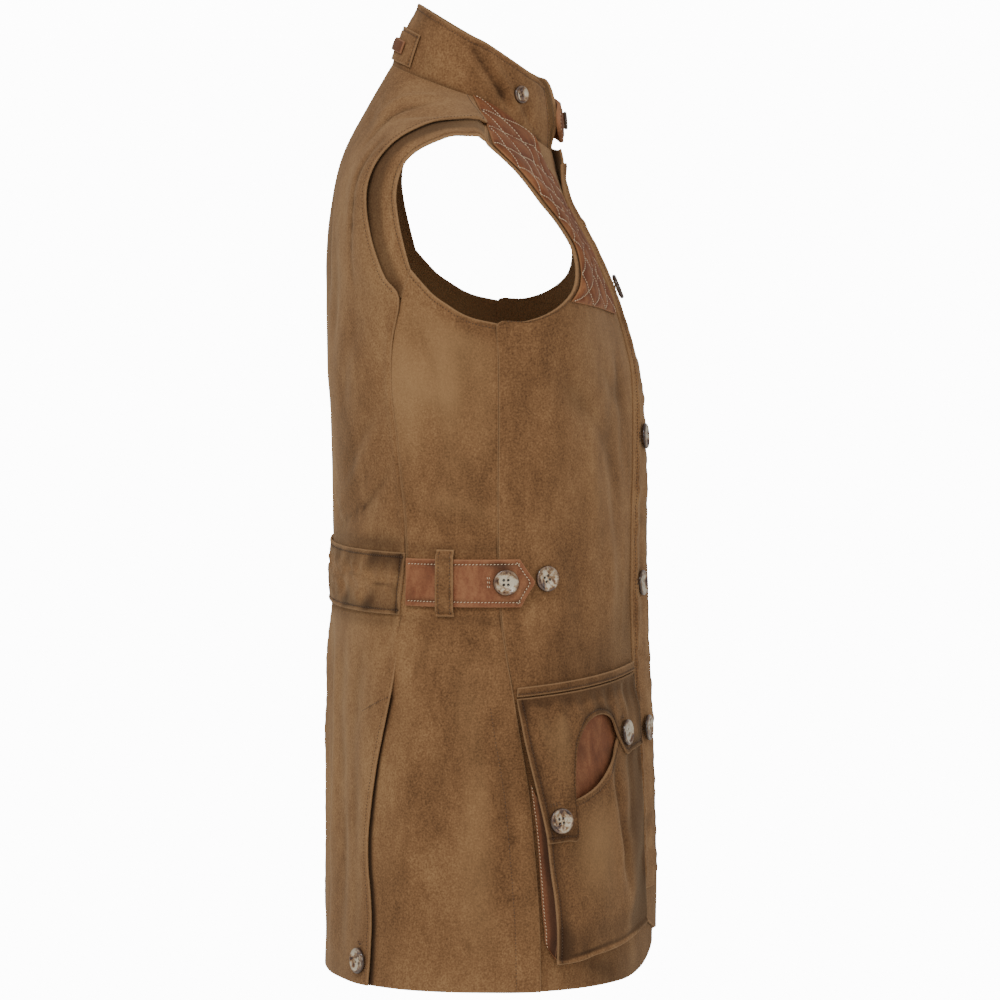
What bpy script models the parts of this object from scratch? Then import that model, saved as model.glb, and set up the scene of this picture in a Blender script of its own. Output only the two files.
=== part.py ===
# Shooting vest in suede, worn shape with no wearer, in metres with +Z up.
# The front faces -Y and the wearer's right side is at -X. The origin lies on
# the line between the neck ends of the two shoulder seams, where the shoulders
# of the wearer carry the garment.
#
# The cloth is one body surface, found from a table of rings. A place on it is
# given by theta, degrees round the body from the centre front over the
# wearer's right side, and by up, millimetres of cloth above the hem. Seams are
# short tables of their places seen from the side, and every piece is a wall on
# the surface between its seams.

import math
from collections import namedtuple

import bmesh
import bpy
import numpy as np
from mathutils import Matrix, Vector

for old in list(bpy.data.objects):
    bpy.data.objects.remove(old, do_unlink=True)

MM = 0.001                 # tables below are in millimetres

# Driving sizes, in millimetres
WALL = 2.0                 # suede, cut edge to edge
LEATHER = 2.6              # tan strap leather, two layers sewn together
SEAM_GAP = 0.3             # between two pieces at a seam
LAY = 1.0                  # from a panel to a piece that lies on it, at the flat of a facet
CLOSE_LAY = 0.6            # the same where both are made on the same lines
EDGE_LIFT = 3.7            # how far a loose overlapping edge stands off the piece below
TUCK = 12.0                # how far the lower piece runs on under a loose edge
FRONT_OVERLAP = 44.0       # width shared by the two fronts
FRONT_RISE = WALL + CLOSE_LAY   # left front over right front
BAND_THICK = 1.6           # strip laid along the left front's edge
BUTTON_STEP = 115.3        # between the front buttons
NECK_UP = 730.0            # the neck seam, as a place on the surface
HEM_Z = -695.0

BUTTON_DIAMETER = 20.6
BUTTON_THICK = 3.6
SMALL_BUTTON_DIAMETER = 14.5
SMALL_BUTTON_THICK = 3.2

# The body surface: a row for each ring, from the hem to the neck seam
Ring = namedtuple(
    "Ring",
    "up front_y front_z side_x side_y side_z back_y back_z front_power back_power keel",
)
RINGS = [
    Ring(0, -149, -695, 206, -20, -695, 116, -695, 2.15, 2.4, 9),      # hem
    Ring(120, -147, -575, 204, -18, -575, 113, -575, 2.15, 2.4, 9),    # hip
    Ring(235, -143, -460, 199, -16, -460, 112, -460, 2.15, 2.4, 10),   # pocket top
    Ring(320, -140, -375, 192, -15, -375, 109, -375, 2.15, 2.4, 10),   # belt
    Ring(415, -136, -280, 195, -14, -280, 111, -280, 2.2, 2.45, 10),   # midriff
    Ring(485, -129, -210, 199, -13, -210, 114, -210, 2.35, 2.5, 10),   # chest
    Ring(527, -116, -168, 200, -12, -168, 115, -168, 2.9, 2.5, 9),    # underarm
    Ring(590, -96, -122, 201, -9, -100, 113, -100, 4.4, 2.6, 6),      # across the armhole
    Ring(660, -76, -84, 190, -8, -30, 97, -38, 3.5, 2.4, 5),           # shoulder tip
    Ring(695, -69, -64, 130, -4, -13, 79, -4, 2.5, 2.2, 4),            # shoulder
    Ring(730, -65, -44, 69, -1, 1, 62, 24, 2.0, 2.0, 0),               # neck seam
]
KEEL_SPREAD = 55.0         # half width of the soft ridge that the lapped fronts make
SLOPE_POWER = 1.1          # how a ring that isn't level falls from its side to its front and back

# Seams as seen from the wearer's right: y grows to the back, z up
Seen = namedtuple("Seen", "y z")
VENT_EDGE = [Seen(78, -695), Seen(75, -646), Seen(77, -590), Seen(75, -553),
             Seen(71, -524), Seen(65, -493), Seen(59, -465)]
SIDE_BACK_SEAM = [Seen(59, -465), Seen(55, -423), Seen(50, -391), Seen(49, -344),
                  Seen(56, -265), Seen(60, -201), Seen(58, -179), Seen(53, -154)]
PLEAT_EDGE = [Seen(53, -154), Seen(64, -137), Seen(71, -119), Seen(76, -98),
              Seen(77, -73), Seen(74, -56), Seen(67, -45), Seen(57, -34),
              Seen(43, -25), Seen(23, -18), Seen(7, -17), Seen(-12, -21)]
UNDERARM_TICK = [Seen(53, -154), Seen(46, -131)]
ARMHOLE_BACK = [Seen(46, -131), Seen(52, -108), Seen(56, -89), Seen(57, -66),
                Seen(49, -46), Seen(30, -32.5), Seen(8, -26), Seen(-4, -27), Seen(-13, -31)]
ARMHOLE_LOW = [Seen(46, -131), Seen(39, -139), Seen(30, -149), Seen(16, -159),
               Seen(2, -167), Seen(-12, -171), Seen(-22, -173)]
ARMHOLE_FRONT_LOW = [Seen(-22, -173), Seen(-40, -172), Seen(-54, -169), Seen(-65, -164),
                     Seen(-75, -157)]
ARMHOLE_FRONT = [Seen(-75, -157), Seen(-82, -148), Seen(-84.5, -134), Seen(-82, -120),
                 Seen(-75, -106), Seen(-65, -91), Seen(-54, -77), Seen(-40, -58),
                 Seen(-26, -43.5), Seen(-19, -36.5), Seen(-13, -31)]
SHOULDER_SEAM = [Seen(-13, -31), Seen(-12, -21), Seen(-2, -1)]
FRONT_SEAM = [Seen(-33, -457), Seen(-29, -432), Seen(-25, -400), Seen(-23, -352),
              Seen(-23, -248), Seen(-22, -173)]
FRONT_SEAM_LOW = [Seen(-42, -695), Seen(-40, -646), Seen(-36, -560), Seen(-35, -490),
                  Seen(-33, -457)]
SIDE_PANEL_EDGE = [Seen(-55, -695), Seen(-54, -646), Seen(-50, -583), Seen(-46, -537),
                   Seen(-40, -500), Seen(-33, -457)]
ARMHOLE_FLAT = 6.0                  # plain rolled edge between the patch and the armhole

# The near edge of the lapped left front, seen from the front: x across, z up
Across = namedtuple("Across", "x z")
FRONT_EDGE = [Across(-66, -640), Across(-66, -480), Across(-62, -370), Across(-48, -290),
              Across(-26, -225), Across(-12, -155), Across(-12, -52)]

# The front edge of the quilted patch, from its lower corner to the neck seam
PATCH_FRONT = [Across(-34, -174), Across(-38, -154), Across(-41, -135), Across(-46, -115),
               Across(-52, -95), Across(-58, -81), Across(-66, -63), Across(-67, -50),
               Across(-59, -36)]

COLLAR_TOP = Ring(0, -60, 9, 62, -8, 44, 41, 73, 2.0, 2.0, 0)
COLLAR_BULGE = 1.5

COLOURS = {                # sRGB, roughness
    "suede": ("86633F", 0.92),
    "tan_leather": ("9C6440", 0.6),
    "quilted_leather": ("96603B", 0.65),
    "horn": ("8A7A62", 0.3),
}


# Curves through the rows of a table

def through(rows, values, at):
    """Smooth curve through a column, read at any places, level past its ends."""
    rows, values, at = (np.asarray(a, float) for a in (rows, values, at))
    at = np.clip(at, rows[0], rows[-1])
    slope = np.gradient(values, rows)
    i = np.clip(np.searchsorted(rows, at, side="right") - 1, 0, len(rows) - 2)
    step = rows[i + 1] - rows[i]
    t = (at - rows[i]) / step
    return (
        (2 * t**3 - 3 * t**2 + 1) * values[i]
        + (t**3 - 2 * t**2 + t) * step * slope[i]
        + (3 * t**2 - 2 * t**3) * values[i + 1]
        + (t**3 - t**2) * step * slope[i + 1]
    )


def soft_step(t):
    t = np.clip(t, 0, 1)
    return t * t * (3 - 2 * t)


# The body surface

RING_UPS = [ring.up for ring in RINGS]


def ring_value(column, up):
    return through(RING_UPS, [getattr(ring, column) for ring in RINGS], up)


def on_ring(theta, value):
    """Point of one ring at theta, where value(column) gives that ring's sizes."""
    angle = np.radians(theta)
    across, ahead = np.sin(angle), np.cos(angle)
    power = np.where(ahead > 0, value("front_power"), value("back_power"))
    q = (np.abs(across) ** power + np.abs(ahead) ** power) ** (-1 / power)
    across, ahead = across * q, ahead * q
    keel = value("keel")
    x = -value("side_x") * across
    reach = np.where(
        ahead > 0, value("side_y") - value("front_y") - keel, value("back_y") - value("side_y")
    )
    ridge = np.where(ahead > 0, keel * np.exp(-((x / KEEL_SPREAD) ** 2)), 0)
    y = value("side_y") - reach * ahead - ridge
    end_z = np.where(ahead > 0, value("front_z"), value("back_z"))
    z = value("side_z") + (end_z - value("side_z")) * np.abs(ahead) ** SLOPE_POWER
    return np.stack(np.broadcast_arrays(x, y, z), -1)


def body(theta, up):
    return on_ring(np.asarray(theta, float), lambda column: ring_value(column, up))


def collar(theta, s):
    """The stand of the collar: s runs from 0 at the neck seam to 1 at its top edge."""
    theta, s = np.asarray(theta, float), np.asarray(s, float)
    low = on_ring(theta, lambda column: getattr(RINGS[-1], column))
    high = on_ring(theta, lambda column: getattr(COLLAR_TOP, column))
    s = s[..., None]
    out = np.stack([low[..., 0], low[..., 1], np.zeros_like(low[..., 0])], -1)
    out = out / np.linalg.norm(out, axis=-1, keepdims=True)
    return low + (high - low) * s + out * COLLAR_BULGE * 4 * s * (1 - s)


def normals(surface, a, b):
    """Outward unit normals of a surface at places a, b."""
    a, b = np.asarray(a, float), np.asarray(b, float)
    along = surface(a + 0.2, b) - surface(a - 0.2, b)
    reach = 0.002 if surface is collar else 0.5
    upward = surface(a, b + reach) - surface(a, b - reach)
    n = np.cross(upward, along)
    return n / np.linalg.norm(n, axis=-1, keepdims=True)


# Finding the place of a seam point

THETAS = np.linspace(-89, 271, 181)
UPS = np.linspace(0, NECK_UP, 147)
NET_THETA, NET_UP = np.meshgrid(THETAS, UPS, indexing="ij")
NET = body(NET_THETA, NET_UP)


def find(target, axes, allowed):
    """Place (theta, up) whose point agrees with target on two axes."""
    miss = np.hypot(*(NET[..., axis] - target[k] for k, axis in enumerate(axes)))
    miss = np.where(allowed, miss, 1e9)
    i = np.unravel_index(np.argmin(miss), miss.shape)
    place = np.array([NET_THETA[i], NET_UP[i]])
    for _ in range(12):
        here = body(*place)[list(axes)] - target
        columns = [
            (body(*(place + step))[list(axes)] - body(*(place - step))[list(axes)]) / 0.2
            for step in (np.array([0.1, 0]), np.array([0, 0.1]))
        ]
        change = np.linalg.lstsq(np.array(columns).T, -here, rcond=None)[0]
        place = place + np.clip(change, -4, 4)
        place[1] = min(max(place[1], 0), NECK_UP)
    return place


def seen(rows):
    """Places of a table of Seen rows, on the wearer's right side."""
    allowed = (NET_THETA > 1) & (NET_THETA < 179)
    return np.array([find(np.array([row.y, row.z], float), (1, 2), allowed) for row in rows])


def height(place):
    """z of a place, in millimetres."""
    return body(place[..., 0], place[..., 1])[..., 2]


def seen_over(rows, out):
    """Places of Seen rows for a face that stands off the surface by out, millimetres or a rule of
    theta and z."""
    target = np.array([(row.y, row.z) for row in rows], float)
    places = seen(rows)
    for _ in range(4):
        lift = out(places[:, 0], height(places)) if callable(out) else np.full(len(places), float(out))
        moved = target - (normals(body, places[:, 0], places[:, 1]) * lift[:, None])[:, 1:]
        places = seen([Seen(*row) for row in moved])
    return places


def ahead(rows):
    """Places of a table of Across rows, on the front."""
    allowed = np.abs(NET_THETA) < 80
    return np.array([find(np.array([row.x, row.z], float), (0, 2), allowed) for row in rows])


def run(places, count, surface=body):
    """count + 1 places evenly spaced along a smooth line through the given ones."""
    places = np.asarray(places, float)
    points = surface(places[:, 0], places[:, 1])
    length = np.concatenate([[0], np.cumsum(np.linalg.norm(np.diff(points, axis=0), axis=1))])
    at = np.linspace(0, length[-1], count + 1)
    return np.stack([through(length, places[:, k], at) for k in (0, 1)], -1)


def joined(*runs):
    """Runs end to end, without the repeated places."""
    return np.concatenate([runs[0]] + [r[1:] for r in runs[1:]])


def between(left, right, bottom, top):
    """Net of places filling four edges. left and right run up, bottom and top run from left to right."""
    s = np.linspace(0, 1, len(left))[:, None, None]
    t = np.linspace(0, 1, len(bottom))[None, :, None]
    sides = left[:, None] * (1 - t) + right[:, None] * t
    ends = bottom[None] * (1 - s) + top[None] * s
    corners = (
        left[0] * (1 - s) * (1 - t) + right[0] * (1 - s) * t
        + left[-1] * s * (1 - t) + right[-1] * s * t
    )
    return sides + ends - corners


def straight(a, b, count):
    return np.linspace(a, b, count + 1)


def other_side(places):
    return places * np.array([-1.0, 1.0])


# Solids

def material(name):
    made = bpy.data.materials.get(name)
    if made:
        return made
    colour, roughness = COLOURS[name]
    made = bpy.data.materials.new(name)
    made.use_nodes = True
    shader = made.node_tree.nodes["Principled BSDF"]
    channels = [int(colour[i:i + 2], 16) / 255 for i in (0, 2, 4)]
    linear = [c / 12.92 if c <= 0.04045 else ((c + 0.055) / 1.055) ** 2.4 for c in channels]
    shader.inputs["Base Color"].default_value = (*linear, 1)
    shader.inputs["Roughness"].default_value = roughness
    shader.inputs["Metallic"].default_value = 0.0
    return made


def add_object(name, mesh, material_name):
    mesh.materials.append(material(material_name))
    made = bpy.data.objects.new(name, mesh)
    bpy.context.scene.collection.objects.link(made)
    return made


def drawn_in(points, edges):
    """Net of points with the named edges drawn in by half a seam gap, across each edge."""
    points = points.copy()
    sides = {
        "left": (np.s_[:, 0], np.s_[:, 1]),
        "right": (np.s_[:, -1], np.s_[:, -2]),
        "bottom": (np.s_[0, :], np.s_[1, :]),
        "top": (np.s_[-1, :], np.s_[-2, :]),
    }
    moves = []
    for edge in edges:
        rim, inner = sides[edge]
        along = np.gradient(points[rim], axis=0)
        along /= np.linalg.norm(along, axis=-1, keepdims=True) + 1e-9
        inward = points[inner] - points[rim]
        inward -= (inward * along).sum(-1, keepdims=True) * along
        inward /= np.linalg.norm(inward, axis=-1, keepdims=True) + 1e-9
        moves.append((rim, inward * SEAM_GAP / 2))
    for rim, move in moves:
        points[rim] += move
    return points


def shell(outer, inner):
    """Closed mesh between two nets of points of one size, in millimetres."""
    rows, columns = outer.shape[:2]
    count = rows * columns
    index = np.arange(count).reshape(rows, columns)
    faces = []
    for i in range(rows - 1):
        for j in range(columns - 1):
            a, b, c, d = index[i, j], index[i, j + 1], index[i + 1, j + 1], index[i + 1, j]
            faces.append((a, b, c, d))
            faces.append((a + count, d + count, c + count, b + count))
    rim = (
        list(index[0, :]) + list(index[1:, -1]) + list(index[-1, -2::-1]) + list(index[-2:0:-1, 0])
    )
    for a, b in zip(rim, rim[1:] + rim[:1]):
        faces.append((b, a, a + count, b + count))
    points = np.concatenate([outer.reshape(-1, 3), inner.reshape(-1, 3)]) * MM
    mesh = bpy.data.meshes.new("cloth")
    mesh.from_pydata([tuple(map(float, p)) for p in points], [], [tuple(map(int, f)) for f in faces])
    work = bmesh.new()
    work.from_mesh(mesh)
    if work.calc_volume(signed=True) < 0:
        bmesh.ops.reverse_faces(work, faces=work.faces)
    work.to_mesh(mesh)
    work.free()
    mesh.shade_smooth()
    mesh.set_sharp_from_angle(angle=math.radians(40))
    return mesh


def wall(name, net, material_name, out=0.0, thick=WALL, edges=(), surface=body, raised=0.0):
    """One piece of cloth on a net of places. out is where its outer face lies above the
    surface, raised is relief on that face alone."""
    theta, up = net[..., 0], net[..., 1]
    normal = normals(surface, theta, up)
    base = drawn_in(surface(theta, up), edges)
    out = np.broadcast_to(np.asarray(out, float), theta.shape)[..., None]
    raised = np.broadcast_to(np.asarray(raised, float), theta.shape)[..., None]
    outer = base + normal * (out + raised)
    inner = base + normal * (out - thick)
    return add_object(name, shell(outer, inner), material_name)


# Seams that two pieces share, each sampled once

VENT_ROWS, SEAM_ROWS, PLEAT_ROWS, SHOULDER_ROWS = 7, 9, 11, 3
FORE_LOW_ROWS, FORE_ROWS, ARMHOLE_COLUMNS, CHEST_ROWS, ARM_ROWS = 6, 11, 6, 3, 10

vent_edge = run(seen(VENT_EDGE), VENT_ROWS)
side_back = run(seen(SIDE_BACK_SEAM), SEAM_ROWS)
pleat_edge = run(seen(PLEAT_EDGE), PLEAT_ROWS)
underarm_tick = run(seen(UNDERARM_TICK), 1)
armhole_back = run(seen(ARMHOLE_BACK), PLEAT_ROWS)
armhole_low = run(seen(ARMHOLE_LOW), ARMHOLE_COLUMNS)
armhole_front_low = run(seen(ARMHOLE_FRONT_LOW), CHEST_ROWS)
armhole_front = run(seen(ARMHOLE_FRONT), ARM_ROWS)
shoulder_low = run(seen(SHOULDER_SEAM[:2]), 1)
shoulder_high = run(seen(SHOULDER_SEAM[1:]), SHOULDER_ROWS)
front_seam = run(seen(FRONT_SEAM), FORE_ROWS)
front_seam_low = run(seen(FRONT_SEAM_LOW), FORE_LOW_ROWS)
side_panel_edge = run(seen(SIDE_PANEL_EDGE), FORE_LOW_ROWS)
shoulder_high[-1, 1] = NECK_UP
for edge in (vent_edge, front_seam_low, side_panel_edge):
    edge[0, 1] = 0.0


def from_edge(net, last=False):
    """Millimetres from the first, or the last, column of a net to each place, along its rows."""
    points = body(net[..., 0], net[..., 1])
    if last:
        points = points[:, ::-1]
    steps = np.linalg.norm(np.diff(points, axis=1), axis=2)
    far = np.concatenate([np.zeros((len(net), 1)), np.cumsum(steps, axis=1)], axis=1)
    return far[:, ::-1] if last else far


def moved_round(places, distance):
    """Places moved round the body by a distance in millimetres, to the back if positive."""
    step = body(places[:, 0] + 1, places[:, 1]) - body(places[:, 0], places[:, 1])
    moved = places.copy()
    moved[:, 0] += distance / np.linalg.norm(step, axis=1)
    return moved


def sided(net, sign):
    return net if sign > 0 else other_side(net)


# Back: one piece from side seam to side seam, its edges loose at the vents and at the pleats

BACK_COLUMNS = 20
LIFT_SPREAD = 58.0         # how far in from a loose edge its lift has gone
PLEAT_GAPE = Seen(77, -76) # the pleat stands open most here
PLEAT_GAPE_LIFT = 1.6
PLEAT_GAPE_LENGTH = 22.0


def back_lift():
    """Lift of the back's edge at each row, from the hem to the neck."""
    pleat_start = VENT_ROWS + SEAM_ROWS
    pleat_end = pleat_start + PLEAT_ROWS
    lift = np.zeros(pleat_end + SHOULDER_ROWS + 1)
    lift[:VENT_ROWS + 1] = EDGE_LIFT
    lift[VENT_ROWS + 1] = lift[pleat_start - 1] = EDGE_LIFT * 0.35
    z = height(pleat_edge)
    gape = np.exp(-(((z - PLEAT_GAPE.z) / PLEAT_GAPE_LENGTH) ** 2))
    lift[pleat_start:pleat_end + 1] = EDGE_LIFT + PLEAT_GAPE_LIFT * gape
    lift[pleat_end:] = EDGE_LIFT * np.linspace(1, 0, SHOULDER_ROWS + 1)
    return lift


def back():
    edge = joined(vent_edge, side_back, pleat_edge, shoulder_high)
    far_edge = np.stack([360 - edge[:, 0], edge[:, 1]], -1)
    hem = straight(edge[0], far_edge[0], BACK_COLUMNS)
    neck = straight(edge[-1], far_edge[-1], BACK_COLUMNS)
    net = between(edge, far_edge, hem, neck)
    near = np.minimum(from_edge(net), from_edge(net, last=True))
    out = back_lift()[:, None] * (1 - soft_step(near / LIFT_SPREAD))
    wall("back", net, "suede", out=out, edges=("left", "right", "top"))


def vent_tucked():
    """Rear edge of the side panel below the vent, run on under the loose edge of the back."""
    tuck = TUCK * (1 - np.linspace(0, 1, VENT_ROWS + 1) ** 3)
    return moved_round(vent_edge, tuck)


# Side panel, from the back seam to the front seam, its front edge loose below the pocket top

def side_panel(name, sign):
    rear = joined(vent_tucked(), side_back, underarm_tick)
    fore = joined(side_panel_edge, front_seam)
    hem = straight(fore[0], rear[0], ARMHOLE_COLUMNS)
    net = between(fore, rear, hem, armhole_low[::-1])
    lift = np.zeros(len(fore))
    lift[:FORE_LOW_ROWS + 1] = EDGE_LIFT
    lift[FORE_LOW_ROWS + 1] = EDGE_LIFT * 0.35
    out = lift[:, None] * (1 - soft_step(from_edge(net) / LIFT_SPREAD))
    wall(name, sided(net, sign), "suede", out=out, edges=("left", "right"))


# Underlay of the action pleat, from the armhole to under the loose edge of the back

def pleat_underlay(name, sign):
    s = np.linspace(0, 1, PLEAT_ROWS + 1)
    tuck = TUCK * 4 * s * (1 - s)
    at_edge = body(pleat_edge[:, 0], pleat_edge[:, 1])
    width = np.linalg.norm(at_edge - body(armhole_back[:, 0], armhole_back[:, 1]), axis=1)
    rear = armhole_back + (pleat_edge - armhole_back) * (1 + tuck / width)[:, None]
    columns = 3
    bottom = straight(armhole_back[0], rear[0], columns)
    top = straight(armhole_back[-1], rear[-1], columns)
    net = between(armhole_back, rear, bottom, top)
    wall(name, sided(net, sign), "suede", edges=("right", "bottom", "top"))


# Fronts, left over right, their lapped parts made on the same lines

LAP_OFFSETS = [0, 11, 22, 33, FRONT_OVERLAP]     # from the near edge of the left front
SPAN_COLUMNS = 7
EDGE_ROWS = (FORE_LOW_ROWS, FORE_ROWS, CHEST_ROWS, ARM_ROWS, 1 + SHOULDER_ROWS)
EDGE_STOPS = (-450, -185, -152, -72, -48)     # heights on the front edge that those rows reach
RIGHT_CORNER = [Across(-140, -695), Across(-96, -694.5), Across(-66, -691.5), Across(-50, -688),
                Across(-33, -682), Across(-22, -676)]
LEFT_CORNER = [Across(-66, -640), Across(-60, -650), Across(-46, -658), Across(-20, -665),
               Across(10, -670), Across(45, -680), Across(85, -690), Across(140, -695)]
NECK_DROP = 0.7            # how far the left front's top lies below the neck seam, for each mm of rise
CURL = 6.0                 # the free top corner of the left front curls away
CURL_REACH = 30.0


def near_edge_x(z):
    """x of the near edge of the lapped left front at height z."""
    return through([row.z for row in FRONT_EDGE], [row.x for row in FRONT_EDGE], z)


def from_near_edge(net):
    points = body(net[..., 0], net[..., 1])
    return points[..., 0] - near_edge_x(points[..., 2])


def corner_z(corner, x):
    return through([row.x for row in corner], [row.z for row in corner], x)


def lap_line(offset, corner, top_up):
    """Places up a front at a set distance from the near edge, from its rounded corner to the neck."""
    runs, z = [], float(corner_z(corner, near_edge_x(-640) + offset))
    for count, stop in zip(EDGE_ROWS, EDGE_STOPS):
        zs = np.linspace(z, stop, count + 1)
        runs.append(ahead([Across(near_edge_x(h) + offset, h) for h in zs]))
        z = stop
    line = joined(*runs)
    line[-1, 1] = top_up
    return line


RISE_FADE = 30.0           # the left front is back on the surface this far past the overlap


def front_rise(far):
    return FRONT_RISE * (1 - soft_step((far - FRONT_OVERLAP) / RISE_FADE))


def over_rise(far):
    """Height that clears the left front's rise and its facets."""
    return FRONT_RISE * np.clip(1 - (far - FRONT_OVERLAP) / (1.5 * RISE_FADE), 0, 1)


def front(name, sign):
    seam = joined(front_seam_low, front_seam, armhole_front_low, armhole_front, shoulder_low,
                  shoulder_high)
    if sign > 0:
        laps = [lap_line(offset, RIGHT_CORNER, NECK_UP) for offset in LAP_OFFSETS[::-1]]
        past = RIGHT_CORNER[1::-1]
    else:
        seam = other_side(seam)
        top_up = NECK_UP - NECK_DROP * FRONT_RISE
        laps = [lap_line(offset, LEFT_CORNER, top_up) for offset in LAP_OFFSETS]
        past = [row for row in LEFT_CORNER if row.x > 0]
    hem = run(np.concatenate([laps[-1][:1], ahead(past), seam[:1]]), SPAN_COLUMNS)
    hem[:, 1] = np.maximum(hem[:, 1], 0)
    neck = straight(laps[-1][-1], seam[-1], SPAN_COLUMNS)
    if sign < 0:
        far = from_near_edge(neck)
        neck[:, 1] = NECK_UP - NECK_DROP * front_rise(far)
    span = between(laps[-1], seam, hem, neck)
    net = np.concatenate([np.stack(laps[:-1], 1), span], 1)
    out = 0.0
    if sign < 0:
        far = from_near_edge(net)
        out = front_rise(far) + corner_curl(far, height(net))
    wall(name, net, "suede", out=out, edges=("right", "top"))


def corner_curl(far, z):
    return CURL * soft_step((z + 85) / 35) * (1 - soft_step(far / CURL_REACH))


BAND_ROWS = 24
BAND_OFFSETS = [1, 11, 22, 33, 39]


def front_band():
    zs = np.linspace(-630, -56, BAND_ROWS + 1)
    lines = [ahead([Across(near_edge_x(z) + offset, z) for z in zs]) for offset in BAND_OFFSETS]
    net = np.stack(lines, 1)
    out = FRONT_RISE + CLOSE_LAY + BAND_THICK + corner_curl(from_near_edge(net), height(net))
    wall("front_band", net, "suede", out=out, thick=BAND_THICK)


# Quilted shoulder patch, laid on the front from the shoulder seam to the chest

QUILT_ROWS, QUILT_COLUMNS = 20, 16
QUILT_EVERY = 4            # net steps from one line of quilting to the next
QUILT_HEIGHT = 2.4
PATCH_THICK = 1.6
PATCH_LAY = 0.6


def quilt_relief(rows, columns):
    i, j = np.meshgrid(np.arange(rows + 1), np.arange(columns + 1), indexing="ij")
    one = np.abs(np.sin(np.pi * (i + j) / QUILT_EVERY))
    other = np.abs(np.sin(np.pi * (i - j) / QUILT_EVERY))
    return QUILT_HEIGHT * np.sqrt(one * other)


def quilted_patch(name, sign):
    neck_run = 4
    front_line = ahead(PATCH_FRONT)
    front_line[-1, 1] = NECK_UP - 1
    neck_point = shoulder_high[-1] - np.array([0, 1])
    along_neck = straight(front_line[-1], neck_point, neck_run)
    fore = joined(run(front_line, QUILT_ROWS - neck_run), along_neck)
    rear = moved_round(run(armhole_front, QUILT_ROWS), -ARMHOLE_FLAT)
    bottom = run(np.concatenate([fore[:1], rear[:1]]), QUILT_COLUMNS)
    shoulder = moved_round(joined(shoulder_low, shoulder_high)[1:-1], -1.0)
    top = run(np.concatenate([rear[-1:], shoulder, fore[-1:]]), QUILT_COLUMNS)[::-1]
    net = sided(between(fore, rear, bottom, top), sign)
    out = PATCH_LAY + PATCH_THICK
    if sign < 0:
        out = out + over_rise(from_near_edge(net))
    wall(name, net, "quilted_leather", out=out, thick=PATCH_THICK,
         raised=quilt_relief(QUILT_ROWS, QUILT_COLUMNS))


# Collar with its back patch, hanger loop and throat tab

COLLAR_COLUMNS, COLLAR_ROWS = 30, 4
COLLAR_RIGHT_END, COLLAR_LEFT_END = 14.0, 367.0     # theta of its two ends
COLLAR_FOOT = 0.012        # the collar starts just clear of the neck seam
LEFT_END_OUT = 5.0         # the left end stands off


def left_end_out(theta):
    return LEFT_END_OUT * soft_step((theta - 315) / 38)


def collar_stand():
    foot = straight(np.array([COLLAR_RIGHT_END, COLLAR_FOOT]), np.array([COLLAR_LEFT_END, COLLAR_FOOT]),
                    COLLAR_COLUMNS)
    top = foot.copy()
    theta = foot[:, 0]
    fall = soft_step((theta - 343) / 32)
    top[:, 1] = 1 - 0.6 * fall - 0.06 * (theta < COLLAR_RIGHT_END + 1)
    net = between(straight(foot[0], top[0], COLLAR_ROWS), straight(foot[-1], top[-1], COLLAR_ROWS), foot, top)
    wall("collar", net, "suede", out=left_end_out(net[..., 0]), surface=collar)


def on_collar(name, theta, s, out, thick, material_name, counts=(2, 8)):
    """A piece laid on the collar between two values of theta and of s."""
    low = straight(np.array([theta[0], s[0]]), np.array([theta[1], s[0]]), counts[1])
    high = straight(np.array([theta[0], s[1]]), np.array([theta[1], s[1]]), counts[1])
    net = between(straight(low[0], high[0], counts[0]), straight(low[-1], high[-1], counts[0]), low, high)
    wall(name, net, material_name, out=out, thick=thick, surface=collar)


def collar_fittings():
    on_collar("collar_back_patch", (140, 220), (0.08, 0.61), LAY + 1.2, 1.2, "suede")
    on_collar("hanger_loop", (152, 208), (0.22, 0.42), LAY + 1.2 + 0.6 + 1.8, 1.8, "tan_leather", (1, 8))
    on_collar("throat_tab", (318, 373), (0.10, 0.70), LEFT_END_OUT + LAY + 3.2, 3.2, "tan_leather", (3, 6))


# Half belt across the back, and the buttoned strap at each side

BELT_TOP, BELT_LOW = -353, -402
STRAP_TOP, STRAP_LOW = -357, -394.5
STRAP_TIP_OUT = 8.6        # the tip passes over the second button
STRAP_OUT = LAY + LEATHER
PUCKER = 0.7


def half_belt():
    low, high = seen([Seen(53, BELT_LOW), Seen(49, BELT_TOP)])
    rows, columns = 3, 28
    rear = straight(low, high, rows)
    far = np.stack([360 - rear[:, 0], rear[:, 1]], -1)
    net = between(rear, far, straight(rear[0], far[0], columns), straight(rear[-1], far[-1], columns))
    j = np.arange(columns + 1)
    rows_in = np.array([0, 1, 1, 0])[:, None]
    wave = PUCKER * rows_in * (1 + np.sin(j * math.pi / 2 + 0.6 * np.sin(j)))
    wall("half_belt", net, "suede", out=0.8 + 1.6, thick=1.6, raised=wave)


def belt_strap(name, sign):
    start = 48.0
    rear = straight(*seen([Seen(start, STRAP_LOW), Seen(start, STRAP_TOP)]), 2)
    tip = seen_over([Seen(-52, -375)], STRAP_TIP_OUT)
    fore = np.insert(seen_over([Seen(-41, STRAP_LOW), Seen(-40, STRAP_TOP)], STRAP_OUT), 1, tip, axis=0)
    columns = 9
    net = between(rear, fore, straight(rear[0], fore[0], columns), straight(rear[-1], fore[-1], columns))
    out = np.full(net.shape[:2], STRAP_OUT)
    out[1, -1] = STRAP_TIP_OUT
    wall(name, sided(net, sign), "tan_leather", out=out, thick=LEATHER)


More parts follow.
